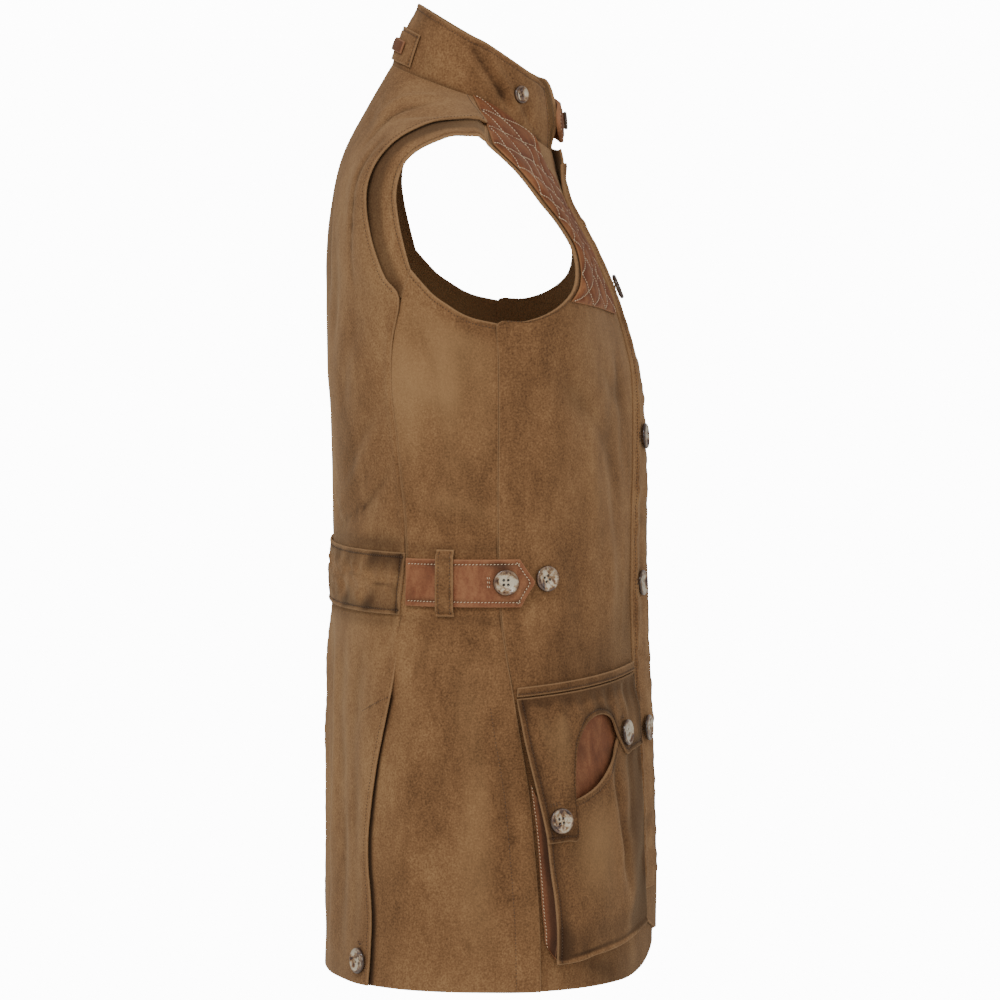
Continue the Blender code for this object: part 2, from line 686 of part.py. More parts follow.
# Belt loop, a row for each bend: height and how far its outer face stands off
LoopRow = namedtuple("LoopRow", "z out")
LOOP_ROWS = [LoopRow(-402, LAY + WALL), LoopRow(-399, LAY + WALL), LoopRow(-396, STRAP_OUT + 2.8),
             LoopRow(-376, STRAP_OUT + 3.2), LoopRow(-355.5, STRAP_OUT + 2.8),
             LoopRow(-352.5, LAY + WALL), LoopRow(-349.5, LAY + WALL)]


def belt_loop(name, sign):
    rear = seen([Seen(25, row.z) for row in LOOP_ROWS])
    fore = seen([Seen(11.5, row.z) for row in LOOP_ROWS])
    net = np.stack([rear, (rear + fore) / 2, fore], 1)
    out = np.array([row.out for row in LOOP_ROWS])[:, None]
    wall(name, sided(net, sign), "suede", out=out)


# Bellows pocket: a tan back and gusset, a pouch, a flap with two tabs and a band over its top

POCKET_TOP = -457
POCKET_SWELL = 12.0        # how far the bellows stands off at its rear edge
POCKET_FRONT_X = -71


def swell(theta, z):
    """How far the pouch's inner face stands off the front: full at the rear, almost none in front."""
    down = soft_step((POCKET_TOP - 6 - z) / 105)
    rearward = 1 - 0.82 * soft_step((82 - np.abs(theta)) / 60)
    return POCKET_SWELL * down * rearward


def flap_out(theta, z):
    drop = soft_step((POCKET_TOP - 8 - z) / 20)
    return 3.0 + 3.2 * drop + swell(theta, z)


def pouch_out(theta, z):
    return WALL + 1.6 + swell(theta, z)


def pocket_band(name, sign):
    rear = seen([Seen(-36.5, -464.5), Seen(-37, POCKET_TOP)])
    fore = ahead([Across(POCKET_FRONT_X, -454.5), Across(POCKET_FRONT_X, -447)])
    net = between(rear, fore, straight(rear[0], fore[0], 10), straight(rear[1], fore[1], 10))
    wall(name, sided(net, sign), "suede", out=LAY + WALL)


FLAP_REAR = [Seen(-62, -578), Seen(-57, -553), Seen(-50, -524), Seen(-42, -491), Seen(-37, -465.5)]
FLAP_ARCH = [Seen(-85.5, -576), Seen(-83.5, -544), Seen(-85, -510), Seen(-88, -495), Seen(-96.5, -484),
             Seen(-106, -482), Seen(-112.5, -486), Seen(-117, -498), Seen(-125, -516)]


def pocket_flap(name, sign):
    rows = 7
    rear = run(seen_over(FLAP_REAR, flap_out), rows)
    fore = straight(*ahead([Across(POCKET_FRONT_X - 2, -513), Across(POCKET_FRONT_X, -455.5)]), rows)
    arch = run(seen_over(FLAP_ARCH, flap_out), 9)
    bottom = joined(straight(rear[0], arch[0], 3), arch, straight(arch[-1], fore[0], 3))
    length = np.concatenate([[0], np.cumsum(np.linalg.norm(np.diff(body(*bottom.T), axis=0), axis=1))])
    by_length = length / length[-1]
    by_angle = (bottom[:, 0] - bottom[0, 0]) / (bottom[-1, 0] - bottom[0, 0])
    share = (0.4 * by_length + 0.6 * by_angle)[:, None]
    top = rear[-1] + (fore[-1] - rear[-1]) * share
    s = np.linspace(0, 1, rows + 1)[:, None, None]
    net = bottom[None] * (1 - s) + top[None] * s
    net[:, 0], net[:, -1] = rear, fore
    out = flap_out(net[..., 0], height(net))
    wall(name, sided(net, sign), "suede", out=out)


POUCH_REAR = [Seen(-69, -673), Seen(-69, -653), Seen(-67, -622), Seen(-64, -600), Seen(-61, -572),
              Seen(-58, -550)]
POUCH_TOP = [Seen(-58, -550), Seen(-84, -545), Seen(-97, -539), Seen(-107, -530), Seen(-114, -517.5),
             Seen(-117, -504)]
POUCH_BOTTOM = [Seen(-69, -673), Seen(-86, -672), Seen(-102, -668.5), Seen(-118, -665.5)]
POUCH_FRONT = [Across(POCKET_FRONT_X + 2, -656), Across(POCKET_FRONT_X, -488)]
POUCH_ROWS, POUCH_COLUMNS = 9, 11


def pouch_edges():
    rear = run(seen_over(POUCH_REAR, pouch_out), POUCH_ROWS)
    fore = straight(*ahead(POUCH_FRONT), POUCH_ROWS)
    bottom = run(np.concatenate([seen_over(POUCH_BOTTOM, pouch_out), fore[:1]]), POUCH_COLUMNS)
    top = run(np.concatenate([seen_over(POUCH_TOP, pouch_out), fore[-1:]]), POUCH_COLUMNS)
    return rear, fore, bottom, top


def pocket_pouch(name, sign):
    net = between(*pouch_edges())
    out = pouch_out(net[..., 0], height(net))
    wall(name, sided(net, sign), "suede", out=out)


GUSSET_ROOT_REAR = [Seen(-47.5, -532), Seen(-52, -572), Seen(-54.5, -606), Seen(-56.5, -638),
                    Seen(-59.5, -659)]
GUSSET_ROOT_BOTTOM = [Seen(-59.5, -659), Seen(-84, -661.5), Seen(-102, -658), Seen(-118, -653)]
GUSSET_THICK = 1.8


def pocket_gusset(name, sign):
    rear, fore, bottom, top = pouch_edges()
    lip = joined(rear[::-1], bottom)
    root_end = ahead([Across(POCKET_FRONT_X + 1, -645)])
    root_bottom = np.concatenate([seen(GUSSET_ROOT_BOTTOM), root_end])
    root = joined(run(seen(GUSSET_ROOT_REAR), POUCH_ROWS), run(root_bottom, POUCH_COLUMNS))
    middle = np.array([50.0, up_of(-590)])
    lip = lip + (middle - lip) * 0.04
    net = sided(np.stack([root, root * 0.45 + lip * 0.55, lip], 1), sign)
    theta, z = net[..., 0], height(net)
    foot, top_out = LAY + GUSSET_THICK, pouch_out(theta, z) - WALL - 1.15
    out = foot + (top_out - foot) * np.array([0, 0.35, 1])
    out[:, 2] = np.maximum(out[:, 2], 2.0)
    normal = normals(body, theta, net[..., 1])
    outer = body(theta, net[..., 1]) + normal * out[..., None]
    face = np.cross(np.gradient(outer, axis=0), np.gradient(outer, axis=1))
    face /= np.linalg.norm(face, axis=-1, keepdims=True)
    if (face * normal).sum() < 0:
        face = -face
    add_object(name, shell(outer, outer - face * GUSSET_THICK), "tan_leather")


def up_of(z):
    """Place up of a height on the torso, where the rings are level."""
    return z - HEM_Z


def pocket_back(name, sign):
    rear = straight(*seen([Seen(-70, -640), Seen(-57, -484)]), 3)
    fore = straight(*ahead([Across(-76, -625), Across(-76, -478)]), 3)
    net = between(rear, fore, straight(rear[0], fore[0], 8), straight(rear[-1], fore[-1], 8))
    wall(name, sided(net, sign), "tan_leather", out=LAY + 0.8, thick=1.0)


# Buttons: turned discs with a raised rim and a dished middle

ButtonRow = namedtuple("ButtonRow", "radius height")     # shares of the radius and the thickness
BUTTON_PROFILE = [ButtonRow(0.72, 0.0), ButtonRow(1.0, 0.35), ButtonRow(0.97, 0.8),
                  ButtonRow(0.84, 1.0), ButtonRow(0.66, 0.72)]
BUTTON_SIDES = 12


def button_mesh(diameter, thick):
    name = f"button_{diameter:g}"
    if name in bpy.data.meshes:
        return bpy.data.meshes[name]
    work = bmesh.new()
    rings = []
    for row in BUTTON_PROFILE:
        ring = []
        for k in range(BUTTON_SIDES):
            angle = 2 * math.pi * k / BUTTON_SIDES
            r = row.radius * diameter / 2 * MM
            ring.append(work.verts.new((r * math.cos(angle), r * math.sin(angle), row.height * thick * MM)))
        rings.append(ring)
    for low, high in zip(rings, rings[1:]):
        for k in range(BUTTON_SIDES):
            n = (k + 1) % BUTTON_SIDES
            work.faces.new((low[k], low[n], high[n], high[k]))
    work.faces.new(rings[0][::-1])
    work.faces.new(rings[-1])
    mesh = bpy.data.meshes.new(name)
    work.to_mesh(mesh)
    work.free()
    mesh.shade_smooth()
    mesh.set_sharp_from_angle(angle=math.radians(50))
    mesh.materials.append(material("horn"))
    return mesh


def button(name, place, out, diameter=BUTTON_DIAMETER, thick=BUTTON_THICK, surface=body):
    place = np.asarray(place, float)
    normal = normals(surface, *place)
    at = surface(*place) + normal * out
    made = bpy.data.objects.new(name, button_mesh(diameter, thick))
    turn = Vector(normal).to_track_quat("Z", "Y").to_matrix().to_4x4()
    made.matrix_world = Matrix.Translation(Vector(at) * MM) @ turn
    bpy.context.scene.collection.objects.link(made)


BUTTON_CLEAR = 0.4
FRONT_BUTTON_TOP = -156.0
FRONT_BUTTONS = 4
BUTTON_FROM_EDGE = 16.0


def pocket_button_face(theta, z):
    return flap_out(theta, z) + BUTTON_CLEAR + BUTTON_THICK


def buttons():
    for k in range(FRONT_BUTTONS):
        z = FRONT_BUTTON_TOP - k * BUTTON_STEP
        place = ahead([Across(near_edge_x(z) + BUTTON_FROM_EDGE, z)])[0]
        button(f"front_button_{k + 1}", place, FRONT_RISE + CLOSE_LAY + BAND_THICK + BUTTON_CLEAR)
    belt_first, belt_second, vent = seen([Seen(-28, -375), Seen(-60, -373), Seen(84, -676)])
    pocket_rear, pocket_fore = seen_over([Seen(-73, -560), Seen(-127, -499)], pocket_button_face)
    for side, sign in (("right", 1), ("left", -1)):
        turn = np.array([sign, 1])
        button(f"belt_button_rear_{side}", belt_first * turn, STRAP_OUT + BUTTON_CLEAR)
        button(f"belt_button_front_{side}", belt_second * turn, BUTTON_CLEAR, thick=3.4)
        for name, place in (("rear", pocket_rear), ("front", pocket_fore)):
            out = flap_out(place[0], height(place)) + BUTTON_CLEAR
            button(f"pocket_button_{name}_{side}", place * turn, float(out))
        button(f"vent_button_{side}", vent * turn, EDGE_LIFT * 0.83 + BUTTON_CLEAR)
    button("collar_button", (54.0, 0.52), BUTTON_CLEAR, SMALL_BUTTON_DIAMETER, SMALL_BUTTON_THICK, collar)
    button("throat_button", (357.0, 0.42), LEFT_END_OUT + LAY + 3.2 + BUTTON_CLEAR,
           SMALL_BUTTON_DIAMETER, SMALL_BUTTON_THICK, collar)


def vest():
    back()
    front_band()
    collar_stand()
    collar_fittings()
    half_belt()
    for side, sign in (("right", 1), ("left", -1)):
        side_panel(f"side_panel_{side}", sign)
        pleat_underlay(f"pleat_underlay_{side}", sign)
        front(f"front_{side}", sign)
        quilted_patch(f"quilted_patch_{side}", sign)
        belt_strap(f"belt_strap_{side}", sign)
        belt_loop(f"belt_loop_{side}", sign)
        pocket_band(f"pocket_band_{side}", sign)
        pocket_flap(f"pocket_flap_{side}", sign)
        pocket_pouch(f"pocket_pouch_{side}", sign)
        pocket_gusset(f"pocket_gusset_{side}", sign)
        pocket_back(f"pocket_back_{side}", sign)
    buttons()
    bpy.context.view_layer.update()


vest()
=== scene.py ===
# Suede shooting vest in its worn form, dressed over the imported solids. Tables are in millimetres.
import math
import bpy
import numpy as np
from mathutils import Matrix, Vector


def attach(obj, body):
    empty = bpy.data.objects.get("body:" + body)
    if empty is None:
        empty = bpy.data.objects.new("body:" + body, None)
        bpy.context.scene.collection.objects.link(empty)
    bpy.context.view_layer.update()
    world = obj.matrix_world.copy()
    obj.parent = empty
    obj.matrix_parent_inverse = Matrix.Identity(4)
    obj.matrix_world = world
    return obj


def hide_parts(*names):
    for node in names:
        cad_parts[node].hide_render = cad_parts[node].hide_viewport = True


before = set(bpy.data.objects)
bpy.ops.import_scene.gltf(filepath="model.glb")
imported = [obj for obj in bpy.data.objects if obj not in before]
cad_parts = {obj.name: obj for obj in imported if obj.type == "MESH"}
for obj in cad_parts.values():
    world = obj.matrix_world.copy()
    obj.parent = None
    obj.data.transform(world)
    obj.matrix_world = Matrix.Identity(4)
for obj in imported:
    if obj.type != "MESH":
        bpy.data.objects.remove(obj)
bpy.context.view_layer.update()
scene = bpy.context.scene
mm = 0.001


def standAt(thing, place, aim):        # a camera or a lamp, turned to what it looks at
    thing.location = place
    thing.rotation_euler = (Vector(aim) - Vector(place)).to_track_quat("-Z", "Y").to_euler()
    scene.collection.objects.link(thing)


# The camera stands at the wearer's right, a little above, as in the photograph
cameraSet = {"place": (-6.9, -0.024, 0.153), "aim": (0.0, -0.024, -0.324), "lens": 311.24}
camera = bpy.data.objects.new("camera", bpy.data.cameras.new("camera"))
camera.data.lens = cameraSet["lens"]
camera.data.clip_end = 100
standAt(camera, cameraSet["place"], cameraSet["aim"])
scene.camera = camera


# Materials


def linear(code):          # sRGB hex to a linear colour
    channels = [int(code[i:i + 2], 16) / 255 for i in (0, 2, 4)]
    return (*[c / 12.92 if c <= 0.04045 else ((c + 0.055) / 1.055) ** 2.4 for c in channels], 1)


def addNode(tree, kind, values=None, links=None, **settings):
    # values and links are keyed by input name or number, a link is (node, output)
    node = tree.nodes.new(kind)
    for key, value in settings.items():
        setattr(node, key, value)
    for key, value in (values or {}).items():
        node.inputs[key].default_value = value
    for key, (source, output) in (links or {}).items():
        tree.links.new(source.outputs[output], node.inputs[key])
    return node


def startMaterial(name, slotName=None, **values):
    made = bpy.data.materials.new(name)
    made.use_nodes = True
    tree = made.node_tree
    shader = tree.nodes["Principled BSDF"]
    for key, value in values.items():
        shader.inputs[key.replace("_", " ")].default_value = value
    return made, tree, shader


def mottling(tree, rows):
    # noises from their patch size in millimetres, detail, distortion and upward scale, drawn out below 1
    coords = addNode(tree, "ShaderNodeTexCoord")
    made = []
    for size, detail, distortion, upward in rows:
        drawn = addNode(tree, "ShaderNodeMapping", {"Scale": (1.0, 1.0, upward)},
                        {"Vector": (coords, "Object")})
        values = {"Scale": 1000 / size, "Detail": detail, "Distortion": distortion}
        made.append(addNode(tree, "ShaderNodeTexNoise", values, {"Vector": (drawn, "Vector")}))
    return made


def weighted(tree, parts):             # sum of noises, each (node, share)
    total = None
    for node, share in parts:
        links = {0: (node, "Fac"), 2: (total, 0)} if total else {0: (node, "Fac")}
        total = addNode(tree, "ShaderNodeMath", {1: share, 2: 0.0}, links, operation="MULTIPLY_ADD")
    return total


def setStops(node, stops):             # the (position, colour) stops of a ramp
    elements = node.color_ramp.elements
    while len(elements) < len(stops):
        elements.new(0.5)
    for element, (at, code) in zip(elements, stops):
        element.position, element.color = at, linear(code)


def layered(tree, colour, layers):
    # colour is a (node, output), a layer an attribute, where it sets in, where it is full, its most, its colour
    for name, start, full, most, code in layers:
        source = addNode(tree, "ShaderNodeAttribute", attribute_name=name)
        mask = addNode(tree, "ShaderNodeMapRange", {1: start, 2: full, 4: most}, {0: (source, "Fac")},
                       interpolation_type="SMOOTHSTEP")
        mixed = addNode(tree, "ShaderNodeMix", {7: linear(code)}, {0: (mask, 0), 6: colour}, data_type="RGBA")
        colour = mixed, 2
    return colour


def hide(name, slotName, colours, settings):
    # One leather or suede: mottling at four sizes, darker or paler by the tone each piece gives, paler on its
    # cut edges
    dark, base, light, edge, deep = colours
    made, tree, shader = startMaterial(name, slotName, Roughness=settings["roughness"], IOR=1.45,
                                       Sheen_Weight=settings["sheen"], Sheen_Roughness=0.45,
                                       Sheen_Tint=linear("E3C49A"), Specular_IOR_Level=settings["specular"])
    broad, patch, nap, grain = settings["sizes"]
    noises = mottling(tree, ((broad, 2.5, 0.4, 0.6), (patch, 4.0, 0.7, 0.5), (nap, 3.0, 0.2, 0.55),
                             (grain, 2.0, 0.0, 1.0)))
    mottle = weighted(tree, zip(noises, settings["shares"]))
    low, high = settings["spread"]
    ramp = addNode(tree, "ShaderNodeValToRGB", links={0: (mottle, 0)})
    setStops(ramp, ((low, dark), (0.5, base), (high, light)))
    # the tone holds painted shade and painted highlights as well as the hide's own tone; the pale cut edge is
    # partly wear and partly a painted highlight where the rolled edge catches the light
    colour, output = layered(tree, (ramp, 0), (("tone", 0.0, -1.0, 1.0, deep), ("tone", 0.0, 1.0, 0.72, light),
                                               ("edge", 1.5, 0.3, settings["rim"], edge)))
    tree.links.new(colour.outputs[output], shader.inputs["Base Color"])
    relief = weighted(tree, zip(noises[1:], settings["relief"]))
    bumped = addNode(tree, "ShaderNodeBump", {"Strength": settings["bump"], "Distance": 0.001},
                     {"Height": (relief, 0)})
    tree.links.new(bumped.outputs[0], shader.inputs["Normal"])
    return made


# Nubuck suede: a brushed matt nap, cloudy at a hand's width, with darker strokes and a fine 1.5 mm grain
suede = hide("nubuckSuede", "suede", ("5A3E27", "876140", "A88259", "A6825D", "3C2718"), {
    "sizes": (150, 42, 8, 1.5), "shares": (0.27, 0.25, 0.13, 0.35), "spread": (0.35, 0.65), "rim": 0.55,
    "relief": (0.5, 0.3, 0.4), "bump": 0.6, "roughness": 0.94, "sheen": 0.3, "specular": 0.2})
# Oiled tan leather: smooth and soft, with pull-up marks; where it bends, the ridges of its creases get a
# painted highlight
tan = hide("oiledTanLeather", "tan_leather", ("633822", "855033", "A8734D", "B07D58", "36200F"), {
    "sizes": (60, 18, 5, 1.6), "shares": (0.28, 0.36, 0.2, 0.16), "spread": (0.34, 0.66), "rim": 0.6,
    "relief": (0.2, 0.25, 0.25), "bump": 0.4, "roughness": 0.68, "sheen": 0.1, "specular": 0.35})
# Quilted lining leather: the same tan, thinner and a little shinier, with a painted highlight on the crowns of
# its lozenges
quilted = hide("quiltedTanLeather", "quilted_leather", ("5C311C", "7E4729", "A87148", "AA7A50", "2A150A"), {
    "sizes": (60, 14, 4, 1.4), "shares": (0.25, 0.4, 0.2, 0.15), "spread": (0.34, 0.66), "rim": 0.5,
    "relief": (0.3, 0.25, 0.2), "bump": 0.45, "roughness": 0.66, "sheen": 0.03, "specular": 0.3})


def hornMaterial():
    # Polished horn: cream clouds over amber and dark brown, a glossy lacquered face
    made, tree, shader = startMaterial("polishedHorn", "horn", Roughness=0.22, IOR=1.54, Coat_Weight=0.35,
                                       Coat_Roughness=0.1, Specular_IOR_Level=0.5)
    cloud, streak = mottling(tree, ((13, 3.0, 1.6, 1.0), (3.2, 2.0, 0.8, 1.0)))
    rim, hole = (addNode(tree, "ShaderNodeAttribute", attribute_name=key) for key in ("rim", "hole"))
    mixed = weighted(tree, ((cloud, 1.3), (streak, 0.35)))
    lower = addNode(tree, "ShaderNodeMath", {1: -0.20}, {0: (rim, "Fac"), 2: (mixed, 0)},
                    operation="MULTIPLY_ADD")
    ramp = addNode(tree, "ShaderNodeValToRGB", links={0: (lower, 0)})
    setStops(ramp, ((0.42, "1E120B"), (0.55, "5A341A"), (0.66, "A07E58"), (0.77, "D2C3A8")))
    colour = layered(tree, (ramp, 0), (("rim", 0.78, 0.90, 0.5, "7D6656"), ("rim", 0.93, 0.99, 0.85, "2A1A12")))
    # the floors of the holes are painted near black, a painted shade for the depth of an open hole
    pierced = addNode(tree, "ShaderNodeMix", {7: linear("140A05")}, {0: (hole, "Fac"), 6: colour},
                      data_type="RGBA")
    tree.links.new(pierced.outputs[2], shader.inputs["Base Color"])
    return made


def threadMaterial(name, slotName, dark, pale):
    # Waxed thread: a soft satin cord, dark and pale by turns where its plies twist, every 0.9 mm
    made, tree, shader = startMaterial(name, slotName, Roughness=0.7, Sheen_Weight=0.2)
    ply, = mottling(tree, ((0.9, 1.0, 0.0, 1.0),))
    colour = addNode(tree, "ShaderNodeMix", {6: linear(dark), 7: linear(pale)}, {0: (ply, "Fac")},
                     data_type="RGBA")
    tree.links.new(colour.outputs[2], shader.inputs["Base Color"])
    return made


horn = hornMaterial()
creamThread = threadMaterial("creamThread", "tan_leather", "BC956C", "F4E0BC")
brownThread = threadMaterial("brownThread", "suede", "2F1E11", "6E4E30")
print("materials made")


# Curves and steps

def throughRows(rows, values, at):     # smooth curve through table rows, level past its ends
    rows, values = np.asarray(rows, float), np.asarray(values, float)
    at = np.clip(np.asarray(at, float), rows[0], rows[-1])
    slope = np.gradient(values, rows, axis=0)
    i = np.clip(np.searchsorted(rows, at, side="right") - 1, 0, len(rows) - 2)
    step = rows[i + 1] - rows[i]
    t = (at - rows[i]) / step
    if values.ndim > 1:
        step, t = step[..., None], t[..., None]
    return ((2 * t**3 - 3 * t**2 + 1) * values[i] + (t**3 - 2 * t**2 + t) * step * slope[i]
            + (3 * t**2 - 2 * t**3) * values[i + 1] + (t**3 - t**2) * step * slope[i + 1])


def softStep(t):
    t = np.clip(t, 0, 1)
    return t * t * (3 - 2 * t)


def bump(distance, width):
    return np.exp(-(np.asarray(distance) / width) ** 2)


def arched(share):                     # 0 at both ends and 1 in the middle
    return 4 * share * (1 - share)


# The worn form, a row for each ring from the hem to the neck seam:
# up, front y and z, side x, y and z, back y and z, squareness of front and back, keel where the fronts lap
ringRows = np.array([
    (0, -149, -695, 206, -20, -695, 116, -695, 2.15, 2.4, 9),      # hem
    (120, -147, -575, 204, -18, -575, 113, -575, 2.15, 2.4, 9),    # hip
    (235, -143, -460, 199, -16, -460, 112, -460, 2.15, 2.4, 10),   # pocket top
    (320, -140, -375, 192, -15, -375, 109, -375, 2.15, 2.4, 10),   # belt
    (415, -136, -280, 195, -14, -280, 111, -280, 2.2, 2.45, 10),   # midriff
    (485, -129, -210, 199, -13, -210, 114, -210, 2.35, 2.5, 10),   # chest
    (527, -116, -168, 200, -12, -168, 115, -168, 2.9, 2.5, 9),     # underarm
    (590, -96, -122, 201, -9, -100, 113, -100, 4.4, 2.6, 6),       # across the armhole
    (660, -76, -84, 190, -8, -30, 97, -38, 3.5, 2.4, 5),           # shoulder tip
    (695, -69, -64, 130, -4, -13, 79, -4, 2.5, 2.2, 4),            # shoulder
    (730, -65, -44, 69, -1, 1, 62, 24, 2.0, 2.0, 0),               # neck seam
], float)
collarTop = np.array([-60, 9, 62, -8, 44, 41, 73, 2.0, 2.0, 0], float)
form = {"neckUp": 730.0, "hemZ": -695.0, "keelSpread": 55.0, "slopePower": 1.1, "collarBulge": 1.5}


def onRing(theta, ring):
    angle = np.radians(theta)
    across, ahead = np.sin(angle), np.cos(angle)
    frontY, frontZ, sideX, sideY, sideZ, backY, backZ, frontPower, backPower, keel = np.moveaxis(ring, -1, 0)
    power = np.where(ahead > 0, frontPower, backPower)
    q = (np.abs(across) ** power + np.abs(ahead) ** power) ** (-1 / power)
    across, ahead = across * q, ahead * q
    x = -sideX * across
    reach = np.where(ahead > 0, sideY - frontY - keel, backY - sideY)
    ridge = np.where(ahead > 0, keel * bump(x, form["keelSpread"]), 0)
    endZ = np.where(ahead > 0, frontZ, backZ)
    z = sideZ + (endZ - sideZ) * np.abs(ahead) ** form["slopePower"]
    return np.stack(np.broadcast_arrays(x, sideY - reach * ahead - ridge, z), -1)


def bodyForm(theta, up):               # theta in degrees from the centre front over the wearer's right side
    return onRing(np.asarray(theta, float), throughRows(ringRows[:, 0], ringRows[:, 1:], up))


def collarForm(theta, s):              # s from 0 at the neck seam to 1 at the collar's top
    theta, s = np.asarray(theta, float), np.asarray(s, float)[..., None]
    low, high = onRing(theta, ringRows[-1, 1:]), onRing(theta, collarTop)
    out = low * np.array([1, 1, 0])
    out = out / np.linalg.norm(out, axis=-1, keepdims=True)
    return low + (high - low) * s + out * form["collarBulge"] * arched(s)


def outward(surface, a, b):
    reach = 0.004 if surface is collarForm else 1.0
    around = surface(a + 0.3, b) - surface(a - 0.3, b)
    rise = surface(a, b + reach) - surface(a, b - reach)
    n = np.cross(rise, around)
    return n / np.linalg.norm(n, axis=-1, keepdims=True)


# Places on the form, found from tables of what is seen from the side, the front or the back

gridTheta, gridUp = np.meshgrid(np.linspace(-89, 271, 181), np.linspace(0, form["neckUp"], 147), indexing="ij")
gridPoints = bodyForm(gridTheta, gridUp)
search = {"rounds": 14, "stride": 4, "turn": 0.1, "rise": 0.2, "flat": 1e-6}


def findPlaces(rows, axes, allowed):   # the nearest allowed place of the grid to each row, then brought onto it
    target = np.asarray(rows, float)
    places = []
    for row in target:
        miss = np.hypot(gridPoints[..., axes[0]] - row[0], gridPoints[..., axes[1]] - row[1])
        i = np.unravel_index(np.argmin(np.where(allowed, miss, np.inf)), miss.shape)
        places.append((gridTheta[i], gridUp[i]))
    places = np.array(places)
    for _ in range(search["rounds"]):
        here = bodyForm(*places.T)[:, axes]
        step = np.where(places[:, 1] < 2, search["rise"], -search["rise"])
        byTheta = (bodyForm(places[:, 0] + search["turn"], places[:, 1])[:, axes] - here) / search["turn"]
        byUp = (bodyForm(places[:, 0], places[:, 1] + step)[:, axes] - here) / step[:, None]
        miss = target - here
        det = byTheta[:, 0] * byUp[:, 1] - byTheta[:, 1] * byUp[:, 0]
        det = np.where(np.abs(det) < search["flat"], search["flat"], det)
        change = np.stack([(miss[:, 0] * byUp[:, 1] - miss[:, 1] * byUp[:, 0]) / det,
                           (byTheta[:, 0] * miss[:, 1] - byTheta[:, 1] * miss[:, 0]) / det], -1)
        places = places + np.clip(change, -search["stride"], search["stride"])
        places[:, 1] = np.clip(places[:, 1], 0, form["neckUp"])
    return places


def seen(*rows):           # (y, z) rows on the wearer's right side
    return findPlaces(rows, [1, 2], (gridTheta > 1) & (gridTheta < 179))


def ahead(*rows):          # (x, z) rows on the front
    return findPlaces(rows, [0, 2], np.abs(gridTheta) < 80)


def behind(*rows):         # (x, z) rows on the back
    return findPlaces(rows, [0, 2], (gridTheta > 105) & (gridTheta < 255))


def seenOver(rows, out):   # (y, z) rows for a face that stands off by out, a number or a rule of theta and z
    target, places = np.array(rows, float), seen(*rows)
    for _ in range(4):
        lift = out(places[:, 0], bodyForm(*places.T)[:, 2]) if callable(out) else float(out)
        shift = outward(bodyForm, *places.T) * np.broadcast_to(lift, len(places))[:, None]
        places = seen(*(target - shift[:, 1:]))
    return places


def wayAlong(points):                  # how far along a line each of its points lies
    return np.concatenate([[0], np.cumsum(np.linalg.norm(np.diff(points, axis=0), axis=1))])


def alongRun(places, count):           # places evenly spaced along a smooth line
    length = wayAlong(bodyForm(*places.T))
    return throughRows(length, places, np.linspace(0, length[-1], count + 1))


def joined(*runs):
    return np.concatenate([runs[0]] + [run[1:] for run in runs[1:]])


def straight(a, b, count):
    return np.linspace(a, b, count + 1)


def between(left, right, bottom, top):             # net of places that fills four edges
    s = np.linspace(0, 1, len(left))[:, None, None]
    t = np.linspace(0, 1, len(bottom))[None, :, None]
    corners = (left[0] * (1 - s) * (1 - t) + right[0] * (1 - s) * t
               + left[-1] * s * (1 - t) + right[-1] * s * t)
    return left[:, None] * (1 - t) + right[:, None] * t + bottom[None] * (1 - s) + top[None] * s - corners


def strip(rear, fore, count):          # net of places from one line straight to the other
    return between(rear, fore, straight(rear[0], fore[0], count), straight(rear[-1], fore[-1], count))


def acrossBack(places):                # the same places on the far side of the centre back
    return np.array([360.0, 0.0]) + places * np.array([-1.0, 1.0])


def sided(places, sign):               # the same places on the wearer's left where sign is -1
    return places if sign > 0 else places * np.array([-1.0, 1.0])


def movedRound(places, distance):
    step = bodyForm(places[:, 0] + 1, places[:, 1]) - bodyForm(*places.T)
    moved = places.copy()
    moved[:, 0] += distance / np.linalg.norm(step, axis=1)
    return moved


# Creases, pressed into the form that every layer follows: troughs where cloth folds in, ridges where it stands

def wander(points, length, seed):      # smooth unevenness of about one, over lengths in millimetres
    total = 0
    for k in range(7):
        a = seed * 1.7 + k * 2.39996
        tilt = math.sin(seed * 3.1 + k * 1.3)
        flat = math.sqrt(1 - tilt * tilt)
        way = np.array([math.cos(a) * flat, math.sin(a) * flat, tilt])
        total = total + np.sin(points @ way * 2 * math.pi / (length * (0.7 + 0.13 * k)) + seed * 5.3 + k * 1.9)
    return total / 2.65


creases = []
creaseSet = {"gain": 1.7, "reach": 2.6, "narrow": 5, "lineWidth": 0.4, "unevenEvery": 60}
swells = [(0.6, 190, 3), (0.32, 74, 8), (0.12, 31, 5)]     # the cloth's slow unevenness: height, length, seed


def addCrease(places, width, depth, surface=bodyForm):
    fine = np.linspace(0, len(places) - 1, 7 * len(places))
    smooth = throughRows(np.arange(len(places)), places, fine)
    creases.append((surface(smooth[:, 0], smooth[:, 1]), width, depth * creaseSet["gain"]))


